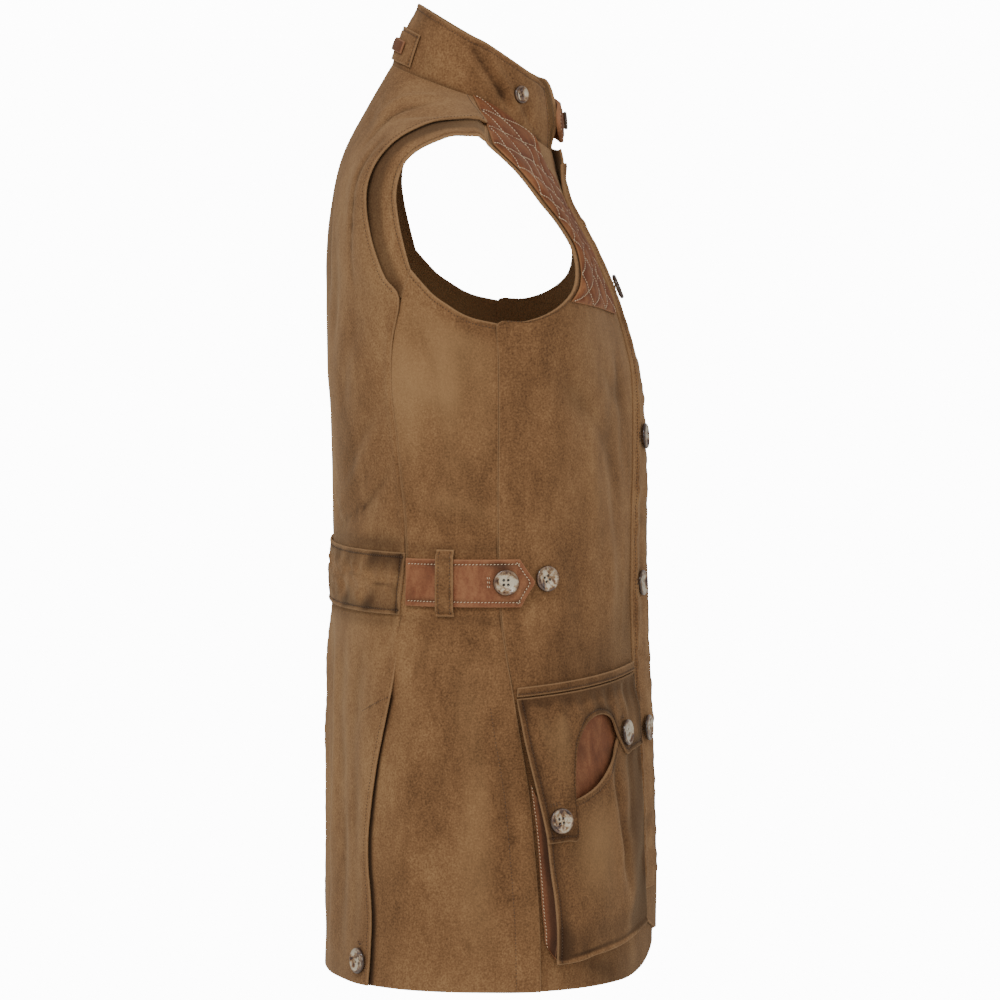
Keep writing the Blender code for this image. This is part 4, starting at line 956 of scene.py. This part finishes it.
def makeQuiltedPatch(side, sign):
    line = ahead(*patchFront)
    line[-1, 1] = form["neckUp"] - 1
    fore = joined(alongRun(line, quilt["rows"] - 4), straight(line[-1], shoulderHigh[-1] - np.array([0, 1]), 4))
    rear = movedRound(alongRun(armholeFront, quilt["rows"]), -quilt["armholeFlat"])
    bottom = alongRun(np.concatenate([fore[:1], rear[:1]]), quilt["columns"])
    shoulder = movedRound(joined(shoulderLow, shoulderHigh)[1:-1], -1.0)
    top = alongRun(np.concatenate([rear[-1:], shoulder, fore[-1:]]), quilt["columns"])[::-1]

    def out(spot):
        return quilt["lay"] + quilt["thick"] + (overRise(fromLap(spot)) if sign < 0 else 0)

    node = "quilted_patch_" + side
    # the crowns of the lozenges get a painted highlight and the quilting lines between them painted shade
    makeCloth(node, sided(between(fore, rear, bottom, top), sign), quilted, out=out,
              thick=quilt["thick"], step=1.9, inset=[0.3, 0.9, 1.8],
              raised=lambda spot: quilt["height"] * cushions(spot) * softStep(spot["near"] / 5) - 0.2,
              shade=lambda spot: 0.45 * cushions(spot) ** 2 - 0.9 * (1 - cushions(spot)) ** 3)
    along, across = quilt["along"], quilt["across"]
    perRow, perColumn = quilt["rows"] / along, quilt["columns"] / across
    j = np.linspace(0.03, across - 0.03, 90)
    for k in range(-across, along + across + 1):
        for way in (1, -1):            # lines of i + way * j = k, counted in lozenges
            i = k - way * j
            inside = (i >= 0.05) & (i <= along - 0.05)
            if inside.sum() > 8:
                points, lifts = onPiece(node, i[inside] * perRow, j[inside] * perColumn)
                stitchRows["quilt"].append((points + lifts * 0.15, lifts))


# Collar with its back patch, hanger loop and throat tab

collar = {"ends": (14.0, 367.0), "foot": -0.02, "leftOut": 5.0}


def makeCollar():
    foot = straight(*[(theta, collar["foot"]) for theta in collar["ends"]], 30)
    top = foot.copy()
    top[:, 1] = 1 - 0.6 * softStep((foot[:, 0] - 343) / 32) - 0.06 * (foot[:, 0] < collar["ends"][0] + 1)
    net = between(straight(foot[0], top[0], 4), straight(foot[-1], top[-1], 4), foot, top)

    def out(spot):         # its left end passes over the right one
        return collar["leftOut"] * softStep((spot["theta"] - 315) / 38) * softStep(spot["up"] / 0.45)

    makeCloth("collar", net, suede, surface=collarForm, step=2.4, out=out,
              turned={"top": 4.4, "left": 4.4, "right": 4.4},
              shade=lambda spot: -0.45 * bump(spot["bottom"], 4) + 0.16 * wander(spot["points"], 30, 9))


def onCollar(node, theta, s, out, thick, finish, bow=(0, 0), **more):     # bow rounds its ends and its corners
    low, high = (straight((theta[0], height), (theta[1], height), 8) for height in s)
    corner = np.clip(1 - np.minimum(np.arange(9), np.arange(9)[::-1]) / 2.5, 0, 1) ** 2
    low[:, 1] += bow[1] * corner
    high[:, 1] -= bow[1] * corner
    ends = [straight(low[k], high[k], 6) for k in (0, -1)]
    for end, way in zip(ends, (-1, 1)):
        end[:, 0] += way * bow[0] * arched(np.linspace(0, 1, 7))
    makeCloth(node, between(*ends, low, high), finish, out=out, thick=thick, surface=collarForm, **more)


def makeCollarFittings():
    onCollar("collar_back_patch", (140, 220), (0.08, 0.61), 2.2, 1.2, suede, step=2.2,
             turned={"top": 2.6, "left": 2.6, "right": 2.6},
             shade=lambda spot: 0.1 - 0.25 * bump(spot["near"] - 1, 3))
    onCollar("hanger_loop", (152, 208), (0.22, 0.42), 4.6, 1.8, tan, step=1.6, inset=[0.2, 0.6, 1.2],
             shade=-0.45,
             raised=lambda spot: 0.4 * softStep(spot["near"] / 3) - 0.3 * bump(spot["near"] - 2.2, 0.7))
    onCollar("throat_tab", (318, 373), (0.10, 0.70), 9.2, 3.2, tan, step=1.8, bow=(3.0, 0.15), stitch="cream",
             turned={"top": 3.2, "left": 3.2, "right": 3.2, "bottom": 3.2},
             raised=lambda spot: 0.8 * softStep(spot["near"] / 9))


# Half belt across the back, and the buttoned strap with its loop at each side

belt = {"top": -353, "low": -402, "strapTop": -357, "strapLow": -394.5, "strapMiddle": -375, "strapOut": 3.6,
        "tipOut": 8.6, "leather": 2.6}


def makeHalfBelt():
    rear = straight(*seen((53, belt["low"]), (49, belt["top"])), 3)

    def fromPleat(spot):   # the way from the one long pleat, and how far the cloth is free of its edges there
        return spot["top"] - 22 - 3 * np.sin(spot["columns"][None] * 0.9), softStep((spot["near"] - 3) / 12)

    def raised(spot):      # gathered across its middle, flat where its edges are stitched, with one long pleat
        j = spot["columns"][None] + 0.3 * wander(spot["points"], 30, 2) + 0.7 * spot["bottom"] / 26
        gather = 1 + np.sin(j * math.pi / 2 + 0.6 * np.sin(j)) + 0.5 * np.sin(j * 4.1 + 1)
        middle = softStep((spot["bottom"] - 4) / 9) * softStep((spot["top"] - 4) / 9)
        away, free = fromPleat(spot)
        pleat = np.tanh(away / 1.5) * bump(away, 6) * free
        return (0.75 * gather + 0.5 * wander(spot["points"], 12, 12)) * middle + 1.2 * pleat

    # painted shade along its pleat, paler just above it, darker overall and towards its ends
    def shade(spot):
        away, free = fromPleat(spot)
        tone = -0.34 - 0.4 * bump(away - 1, 1.6) * free + 0.15 * wander(spot["points"], 24, 15)
        tone = tone + bands(spot, [("top", 20, 8, 0.4), ("sides", 2, 5, -0.2)])
        return tone - 0.3 * bump(np.hypot((spot["sides"] - 24) * 0.6, spot["top"] - 9), 12)

    makeCloth("half_belt", strip(rear, acrossBack(rear), 28), suede, out=2.4, thick=1.6, raised=raised,
              shade=shade, step=2.6, turned={"top": 3.6, "bottom": 3.6, "left": 3.6, "right": 3.6})


def makeBeltStrap(side, sign):
    rear = straight(*seen((48, belt["strapLow"]), (48, belt["strapTop"])), 6)
    tip = seenOver([(-52, belt["strapMiddle"])], belt["tipOut"])[0]
    low, high = seenOver([(-41, belt["strapLow"]), (-40, belt["strapTop"])], belt["strapOut"])
    net = strip(rear, joined(straight(low, tip, 3), straight(tip, high, 3)), 12)

    def out(spot):         # its tip passes over the second button
        away = np.hypot(spot["right"] * 0.75, (spot["z"] - belt["strapMiddle"]) * 0.8)
        return belt["strapOut"] + (belt["tipOut"] - belt["strapOut"]) * (1 - softStep(away / 17))

    def shade(spot):       # darker towards its edges, and painted shade round the button
        away = np.hypot(spot["y"] + 28, spot["z"] - belt["strapMiddle"])
        return (0.17 * wander(spot["points"], 30, 7) + 0.1 - 0.3 * bump(spot["near"] - 5, 3)
                - 0.2 * bump(away - 11, 2.2))

    makeCloth("belt_strap_" + side, sided(net, sign), tan, out=out, thick=belt["leather"], step=1.9,
              stitch="cream", shade=shade, turned={"top": 4.2, "bottom": 4.2, "right": 4.2})


def makeBeltLoop(side, sign):
    rows = [(-402, 3.0), (-399, 3.0), (-396, 6.4), (-376, 6.8), (-355.5, 6.4), (-352.5, 3.0), (-349.5, 3.0)]
    rear, fore = (seen(*[(y, z) for z, _ in rows]) for y in (25, 11.5))
    makeCloth("belt_loop_" + side, sided(np.stack([rear, (rear + fore) / 2, fore], 1), sign), suede, step=1.6,
              inset=[0.2, 0.6, 1.2, 2.0, 2.6, 3.2], turned={"left": 2.6, "right": 2.6},
              out=lambda spot: np.interp(spot["rows"], np.arange(7), [level for _, level in rows])[:, None],
              shade=lambda spot: 0.2 + 0.25 * wander(spot["points"], 14, 4))


# Bellows pockets

pocket = {"top": -457, "swell": 12.0, "frontX": -71, "gussetThick": 1.8}


def swell(theta, z):
    down = softStep((pocket["top"] - 6 - z) / 105)
    return pocket["swell"] * down * (1 - 0.82 * softStep((82 - np.abs(theta)) / 60))


def flapOut(theta, z):
    return 3.0 + 3.2 * softStep((pocket["top"] - 8 - z) / 20) + swell(theta, z)


def pouchOut(theta, z):
    return 3.6 + swell(theta, z)


def makePocketBand(side, sign):
    rear = straight(*seen((-36.5, -464.5), (-37, pocket["top"])), 3)
    fore = straight(*ahead((pocket["frontX"], -454.5), (pocket["frontX"], -447)), 3)
    makeCloth("pocket_band_" + side, sided(strip(rear, fore, 10), sign), suede, out=3.0, step=1.8,
              inset=[0.2, 0.6, 1.2, 2.0], turned={"bottom": 2.0}, shade=-0.25)


flapRear = [(-62, -578), (-57, -553), (-50, -524), (-42, -491), (-37, -465.5)]
flapArch = [(-85.5, -576), (-83.5, -544), (-85, -510), (-88, -495), (-96.5, -484), (-106, -482), (-112.5, -486),
            (-117, -498), (-125, -516)]


def makePocketFlap(side, sign):
    rows = 7
    rear = alongRun(seenOver(flapRear, flapOut), rows)
    fore = straight(*ahead((pocket["frontX"] - 2, -513), (pocket["frontX"], -455.5)), rows)
    arch = alongRun(seenOver(flapArch, flapOut), 9)
    bottom = joined(straight(rear[0], arch[0], 3), arch, straight(arch[-1], fore[0], 3))
    length = wayAlong(bodyForm(*bottom.T))
    byAngle = (bottom[:, 0] - bottom[0, 0]) / (bottom[-1, 0] - bottom[0, 0])
    share = (0.4 * length / length[-1] + 0.6 * byAngle)[:, None]
    top = rear[-1] + (fore[-1] - rear[-1]) * share
    s = np.linspace(0, 1, rows + 1)[:, None, None]
    net = bottom[None] * (1 - s) + top[None] * s
    net[:, 0], net[:, -1] = rear, fore

    def rays(spot):        # soft rays below the band
        return wander(spot["points"] * np.array([1, 1, 0.22]), 24, 7)

    def shade(spot):       # paler in the middle and dark along its edges, darker at its top; painted shade towards the front, and painted light and shade on its rays
        tone = 0.42 * patchAt(spot, "y", -66, -510, 0.55, 16)
        tone = tone + bands(spot, [("near", 3, 9, -0.42), ("top", 0, 16, -0.4)])
        tone = tone - 0.5 * softStep((82 - np.abs(spot["theta"]) - 42) / 30)
        return np.maximum(tone + 0.3 * rays(spot) * bump(spot["top"] - 18, 22), -0.56)

    makeCloth("pocket_flap_" + side, sided(net, sign), suede, step=2.2, shade=shade,
              turned={"left": 4.2, "bottom": 4.2, "right": 4.2},
              raised=lambda spot: 1.2 * rays(spot) * bump(spot["top"] - 14, 22) * softStep(spot["near"] / 6),
              out=lambda spot: flapOut(spot["theta"], spot["z"]))


pouchRear = [(-69, -673), (-69, -653), (-67, -622), (-64, -600), (-61, -572), (-58, -550)]
pouchTop = [(-58, -550), (-84, -545), (-97, -539), (-107, -530), (-114, -517.5), (-117, -504)]
pouchBottom = [(-69, -673), (-86, -672), (-102, -668.5), (-118, -665.5)]
pouchRows, pouchColumns = 9, 11


def pouchEdges():
    rear = alongRun(seenOver(pouchRear, pouchOut), pouchRows)
    fore = straight(*ahead((pocket["frontX"] + 2, -656), (pocket["frontX"], -488)), pouchRows)
    bottom, top = (alongRun(np.concatenate([seenOver(table, pouchOut), end]), pouchColumns)
                   for table, end in ((pouchBottom, fore[:1]), (pouchTop, fore[-1:])))
    return rear, fore, bottom, top


def makePocketPouch(side, sign):
    def shares(spot):      # the share of the way up and of the way forwards, and where the long fold runs
        i, j = spot["rows"][:, None] / pouchRows, spot["columns"][None] / pouchColumns
        return i, j, j - 0.60 - 0.05 * np.sin(i * 5)

    def raised(spot):      # a long soft fold down its front half, a lower one beside it, a rolled lower edge
        i, j, away = shares(spot)
        fold = -3.8 * bump(away, 0.055) * softStep((i - 0.16) / 0.3) * softStep((1 - i) / 0.2)
        ridge = 2.2 * bump(away + 0.10, 0.07) * softStep((i - 0.2) / 0.3)
        second = -1.8 * bump(j - 0.80 + 0.04 * np.sin(i * 4), 0.05) * softStep((i - 0.3) / 0.4)
        slack = 0.8 * wander(spot["points"], 44, 21)
        rolled = bands(spot, [("bottom", 2.2, 1.8, 0.7), ("bottom", 5.4, 1.2, -0.5)])
        return (fold + ridge + second + slack) * softStep(spot["near"] / 7) + rolled

    def shade(spot):       # paler above its middle and along its rolled edge; painted shade low down, in front, in its long fold and under its rolled edge; darker at its rear edge
        i, j, away = shares(spot)
        tone = 0.6 * bump(np.hypot((j - 0.30) / 0.20, (i - 0.62) / 0.30), 1.0)
        tone = tone - 0.6 * softStep((j - 0.62) / 0.2) - 0.5 * bump(away, 0.06) * softStep((i - 0.16) / 0.3)
        tone = tone + bands(spot, [("bottom", 2.0, 1.5, 0.35), ("bottom", 5.6, 1.6, -0.5),
                                   ("bottom", 16, 17, -0.5), ("left", 5, 8, -0.4)])
        return np.maximum(tone, -0.7)

    makeCloth("pocket_pouch_" + side, sided(between(*pouchEdges()), sign), suede, step=2.4, raised=raised,
              shade=shade, turned={"left": 3.6, "top": 5.0},
              out=lambda spot: pouchOut(spot["theta"], spot["z"]))


gussetRear = [(-47.5, -532), (-52, -572), (-54.5, -606), (-56.5, -638), (-59.5, -659)]
gussetBottom = [(-59.5, -659), (-84, -661.5), (-102, -658), (-118, -653)]


def makePocketGusset(side, sign):
    rear, _, bottom, _ = pouchEdges()
    lip = joined(rear[::-1], bottom)
    lip = lip + (np.array([50.0, -590 - form["hemZ"]]) - lip) * 0.04
    rootEnd = ahead((pocket["frontX"] + 1, -645))
    root = joined(seam(pouchRows, *gussetRear),
                  alongRun(np.concatenate([seen(*gussetBottom), rootEnd]), pouchColumns))
    net = np.stack([root, root * 0.45 + lip * 0.55, lip], 1)
    foot = 1.0 + pocket["gussetThick"]

    def out(spot):         # from its root on the front to its lip under the pouch
        share = np.interp(spot["columns"], [0, 1, 2], [0, 0.35, 1])[None]
        level = foot + (pouchOut(spot["theta"], spot["z"]) - 3.15 - foot) * share
        return np.where(spot["columns"][None] > 1.5, np.maximum(level, 2.0), level)

    # painted shade, darkest towards its lip inside the bellows
    makeCloth("pocket_gusset_" + side, sided(net, sign), tan, out=out, thick=pocket["gussetThick"], step=2.0,
              inset=[0.2, 0.6, 1.2, 2.0, 2.8], turned={"left": 2.0}, stitch="cream",
              shade=lambda spot: -0.15 - 0.6 * softStep(spot["columns"][None] - 0.3))


def makePocketBack(side, sign):
    rear = straight(*seen((-70, -640), (-57, -484)), 3)
    fore = straight(*ahead((-76, -625), (-76, -478)), 3)
    makeCloth("pocket_back_" + side, sided(strip(rear, fore, 8), sign), tan, out=1.8, thick=1.0, step=3.2,
              inset=[0.2, 0.5, 1.2], shade=lambda spot: -0.2 + 0.15 * wander(spot["points"], 24, 3))


# Buttons: turned discs with a raised rim, a dished face and four holes

button = {"sides": 40, "hole": 1.0, "spacing": 3.6, "depth": 1.5, "soften": 0.45, "coat": 20.6, "small": 14.5,
          "seat": 0.4, "firstZ": -156.0, "apart": 115.3, "inset": 16.0}
buttonProfile = [          # radius and height, in shares of the whole, from the foot over the rim to the middle
    (0.70, 0.0), (0.90, 0.14), (0.985, 0.32), (1.0, 0.46), (0.99, 0.66), (0.965, 0.85), (0.92, 0.97),
    (0.87, 1.0), (0.82, 0.97), (0.77, 0.86), (0.72, 0.76), (0.66, 0.70), (0.60, 0.67), (0.54, 0.65),
    (0.485, 0.64), (0.445, 0.635), (0.405, 0.63), (0.365, 0.63), (0.325, 0.63), (0.285, 0.63),
    (0.245, 0.63), (0.205, 0.63), (0.165, 0.63), (0.12, 0.63), (0.06, 0.63)]


def makeButton(node, place, out, diameter=button["coat"], thick=3.6, surface=bodyForm, turn=0.0):
    place = np.asarray(place, float)
    radius, scale, sides = diameter / 2, diameter / button["coat"], button["sides"]
    ring = np.arange(sides) * 2 * math.pi / sides
    r, h = np.array(buttonProfile).T * np.array([[radius], [thick]])
    x, y = r[:, None] * np.cos(ring), r[:, None] * np.sin(ring)
    z = np.repeat(h[:, None], sides, 1)
    face = (np.arange(len(r)) > 9)[:, None]        # the rings inside the rim
    gap = np.hypot(*(np.abs(flat) - button["spacing"] / 2 * scale for flat in (x, y)))
    hole = face * softStep((button["hole"] * scale - gap) / button["soften"] + 0.5)
    z = z - button["depth"] * hole
    flat = np.concatenate([np.stack([x, y, z], -1).reshape(-1, 3), [[0, 0, 0], [0, 0, h[-1]]]])
    index = np.arange(len(r) * sides).reshape(-1, sides)
    after = np.roll(index, -1, 1)
    quads = np.stack([index[:-1], after[:-1], after[1:], index[1:]], -1).reshape(-1, 4)
    under = np.stack([np.full(sides, index.size), after[0], index[0]], -1)
    middle = np.stack([np.full(sides, index.size + 1), index[-1], after[-1]], -1)
    triangles = np.concatenate([quads[:, [0, 1, 2]], quads[:, [0, 2, 3]], under, middle])
    rim = np.concatenate([np.repeat((r / radius)[:, None], sides, 1).ravel(), [1, 0]])
    holes = np.concatenate([hole.ravel(), [0, 0]])
    normal = outward(surface, place[None, 0], place[None, 1])[0]
    at = surface(place[None, 0], place[None, 1])
    centre = (at + normal * (out + pressed(at)[0] * settled(surface, place[1])))[0]
    across = np.cross([0, 0, 1.0], normal)
    across /= np.linalg.norm(across)
    upright = np.cross(normal, across)
    c, s = math.cos(math.radians(turn)), math.sin(math.radians(turn))
    points = centre + flat @ np.array([across * c + upright * s, upright * c - across * s, normal])
    addPiece(node + "_horn", plainMesh(node, points, triangles, {"rim": rim, "hole": holes}), horn, node)


def markButtonhole(place, out, rearward, upward, thread="brown"):
    # The end of a buttonhole, past its button: a bar across it and the two sides of its slit
    here = bodyForm(*place)
    beside = [bodyForm(place[0] + 1, place[1]), bodyForm(place[0], place[1] - 1)]
    perStep = np.linalg.norm(np.array(beside) - here, axis=1)
    reach = math.hypot(rearward, upward)
    way, square = np.array([rearward, upward]) / reach, np.array([-upward, rearward]) / reach
    bar = [way * (reach + step) + square * np.linspace(-3.4, 3.4, 7)[:, None] for step in (-0.7, 0.7)]
    slit = [way * np.linspace(reach - 7, reach - 1, 7)[:, None] + square * offset for offset in (-1.1, 1.1)]
    for lines, kind in ((bar, thread), (slit, "brown")):
        for flat in lines:
            places = place + flat / perStep * np.array([1 if place[0] > 0 else -1, 1])
            height = out(places[:, 0], bodyForm(*places.T)[:, 2]) if callable(out) else out
            stitchRows[kind].append(onForm(places, height + 0.15))


def makeButtons():
    seat = button["seat"]
    for k in range(4):
        z = button["firstZ"] - k * button["apart"]
        place = ahead((nearEdgeX(z) + button["inset"], z))[0]
        makeButton(f"front_button_{k + 1}", place, bandOut + seat, turn=12 + 31 * k)
        markButtonhole(place, bandOut, 12.5, 0)
    first, second, vent = seen((-28, -375), (-60, -373), (84, -676))
    pocketPlaces = seenOver([(-73, -560), (-127, -499)], lambda theta, z: flapOut(theta, z) + 4.0)
    ventOut = lap["edgeLift"] * 0.83
    for side, sign in bothSides.items():
        flip = np.array([sign, 1])
        makeButton("belt_button_rear_" + side, first * flip, belt["strapOut"] + seat)
        markButtonhole(first * flip, belt["strapOut"], 13, 0, "cream")
        makeButton("belt_button_front_" + side, second * flip, seat, thick=3.4, turn=28)
        for name, place, turn in zip(("rear", "front"), pocketPlaces, (8, 20)):
            level = float(flapOut(place[0], bodyForm(*place)[2]))
            makeButton(f"pocket_button_{name}_{side}", place * flip, level + seat, turn=turn)
            markButtonhole(place * flip, flapOut, 3, 13)
        makeButton("vent_button_" + side, vent * flip, ventOut + seat, turn=-14)
        markButtonhole(vent * flip, ventOut, 0, 14)
    makeButton("collar_button", (54.0, 0.52), seat, button["small"], 3.2, collarForm, 20)
    makeButton("throat_button", (357.0, 0.42), 9.2 + seat, button["small"], 3.2, collarForm, 5)


# Stitches: Geometry Nodes lay one short rounded stitch at every step of a line

def stitchTree():
    tree = bpy.data.node_groups.new("stitchLine", "GeometryNodeTree")
    sockets = [("Geometry", "INPUT", "Geometry"), ("Step", "INPUT", "Float"), ("Length", "INPUT", "Float"),
               ("Thickness", "INPUT", "Float"), ("Turn", "INPUT", "Float"), ("Thread", "INPUT", "Material"),
               ("Geometry", "OUTPUT", "Geometry")]
    for name, way, kind in sockets:
        tree.interface.new_socket(name, in_out=way, socket_type="NodeSocket" + kind)
    start, end = addNode(tree, "NodeGroupInput"), addNode(tree, "NodeGroupOutput")
    curve = addNode(tree, "GeometryNodeMeshToCurve", links={"Mesh": (start, "Geometry")})
    spaced = addNode(tree, "GeometryNodeResampleCurve", links={"Curve": (curve, 0), "Length": (start, "Step")},
                     mode="LENGTH")
    lift = addNode(tree, "GeometryNodeInputNamedAttribute", {"Name": "lift"}, data_type="FLOAT_VECTOR")
    tangent = addNode(tree, "GeometryNodeInputTangent")
    along = addNode(tree, "FunctionNodeAlignRotationToVector", links={"Vector": (tangent, 0)}, axis="X")
    upright = addNode(tree, "FunctionNodeAlignRotationToVector",
                      links={"Rotation": (along, 0), "Vector": (lift, "Attribute")}, axis="Z", pivot_axis="X")
    jitter = addNode(tree, "FunctionNodeRandomValue", {2: -0.10, 3: 0.10, "Seed": 7}, data_type="FLOAT")
    turn = addNode(tree, "ShaderNodeMath", links={0: (start, "Turn"), 1: (jitter, 1)}, operation="ADD")
    spin = addNode(tree, "ShaderNodeCombineXYZ", links={2: (turn, 0)})
    turned = addNode(tree, "FunctionNodeRotateRotation", links={0: (upright, 0), 1: (spin, 0)},
                     rotation_space="LOCAL")
    size = addNode(tree, "ShaderNodeCombineXYZ",
                   links={0: (start, "Length"), 1: (start, "Thickness"), 2: (start, "Thickness")})
    bead = addNode(tree, "GeometryNodeMeshUVSphere", {"Segments": 6, "Rings": 4, "Radius": 0.5})
    placed = addNode(tree, "GeometryNodeInstanceOnPoints", links={
        "Points": (spaced, 0), "Instance": (bead, "Mesh"), "Rotation": (turned, 0), "Scale": (size, 0)})
    real = addNode(tree, "GeometryNodeRealizeInstances", links={0: (placed, 0)})
    smooth = addNode(tree, "GeometryNodeSetShadeSmooth", links={0: (real, 0)})
    finished = addNode(tree, "GeometryNodeSetMaterial",
                       links={"Geometry": (smooth, 0), "Material": (start, "Thread")})
    tree.links.new(finished.outputs[0], end.inputs[0])
    return tree


stitchGroup = stitchTree()


def makeStitches(name, lines, thread, step, length, thickness, turn=0.0, lift=0.1):
    lines = [line for line in lines if len(line[0]) > 1]
    points = np.concatenate([line + normal * lift for line, normal in lines]) * mm
    lifts = np.concatenate([normal for _, normal in lines])
    starts = np.ones(len(points), bool)            # every point but the last of its line starts an edge
    starts[np.cumsum([len(line) for line, _ in lines]) - 1] = False
    edges = np.flatnonzero(starts)[:, None] + np.array([0, 1])
    mesh = bpy.data.meshes.new(name)
    mesh.from_pydata(points.tolist(), edges.tolist(), [])
    up = mesh.attributes.new("lift", "FLOAT_VECTOR", "POINT")
    up.data.foreach_set("vector", lifts.astype(np.float32).ravel())
    maker = bpy.data.objects.new(name, mesh)
    scene.collection.objects.link(maker)
    nodes = maker.modifiers.new("stitches", "NODES")
    nodes.node_group = stitchGroup
    sizes = {"Step": step * mm, "Length": length * mm, "Thickness": thickness * mm, "Turn": math.radians(turn),
             "Thread": thread}
    for socket in stitchGroup.interface.items_tree:
        if socket.in_out == "INPUT" and socket.name in sizes:
            nodes[socket.identifier] = sizes[socket.name]
    bpy.context.view_layer.update()
    made = bpy.data.meshes.new_from_object(maker.evaluated_get(bpy.context.evaluated_depsgraph_get()))
    bpy.data.objects.remove(maker)
    made.name = name
    made.materials.clear()
    addPiece(name, made, thread)
    print("made", name, len(made.polygons), "faces")


# Making the vest

bothSides = {"right": 1, "left": -1}
makeBack()
for side, sign in bothSides.items():
    for make in (makeSidePanel, makePleatUnderlay, makeFront, makeQuiltedPatch):
        make(side, sign)
for make in (makeFrontBand, makeCollar, makeCollarFittings, makeHalfBelt):
    make()
for side, sign in bothSides.items():
    for make in (makeBeltStrap, makeBeltLoop, makePocketBand, makePocketFlap, makePocketPouch, makePocketGusset,
                 makePocketBack):
        make(side, sign)
makeButtons()
makeStitches("topstitching", stitchRows["brown"], brownThread, step=2.6, length=1.5, thickness=0.65)
makeStitches("saddle_stitching", stitchRows["cream"], creamThread, step=2.7, length=2.1, thickness=0.8, turn=18)
makeStitches("quilting", stitchRows["quilt"], creamThread, step=2.9, length=2.4, thickness=0.9)


# Plain pale floor where the wearer would stand, and soft light

studio = {"floor": -1.42, "half": 300.0, "world": 0.48, "white": 13.0, "floorWhite": 12.4}
softLights = {             # where each one stands, what it is turned to, its width and height, and its power
    "key": ((-2.7, 1.1, 2.4), (0, 0, -0.35), (1.3, 1.1), 54.0),
    "side": ((-5.0, -0.5, 0.8), (0, 0, -0.2), (1.6, 1.6), 28.0),
    "fill": ((-1.6, -3.8, 0.7), (0, 0, -0.35), (2.6, 2.2), 20.0),
    "rear": ((1.2, 3.7, 1.4), (0, 0, -0.35), (2.6, 2.2), 5.0),
}
corners = [(x * studio["half"], y * studio["half"], studio["floor"])
           for x, y in ((-1, -1), (1, -1), (1, 1), (-1, 1))]
floorMesh = bpy.data.meshes.new("floor")
floorMesh.from_pydata(corners, [], [(0, 1, 2, 3)])
floor = bpy.data.objects.new("floor", floorMesh)
scene.collection.objects.link(floor)
paleFloor, floorTree, floorShader = startMaterial("paleFloor", Roughness=0.9, Base_Color=linear("F6F6F4"),
                                                  Emission_Color=(1, 1, 1, 1))
floorMesh.materials.append(paleFloor)


def whiteOut(tree, target, shown, given):      # the white shows at one strength and lights the vest at another
    path = addNode(tree, "ShaderNodeLightPath")
    glow = addNode(tree, "ShaderNodeMapRange", {3: given, 4: shown}, {0: (path, "Is Camera Ray")})
    tree.links.new(glow.outputs[0], target)


whiteOut(floorTree, floorShader.inputs["Emission Strength"], studio["floorWhite"], 0.0)

world = bpy.data.worlds.new("studio")
world.use_nodes = True
background = world.node_tree.nodes["Background"]
background.inputs["Color"].default_value = (1, 1, 1, 1)
whiteOut(world.node_tree, background.inputs["Strength"], studio["white"], studio["world"])
scene.world = world

for name, (place, aim, size, power) in softLights.items():
    light = bpy.data.lights.new(name, "AREA")
    light.shape = "RECTANGLE"
    light.size, light.size_y = size
    light.energy = power
    standAt(bpy.data.objects.new(name, light), place, aim)
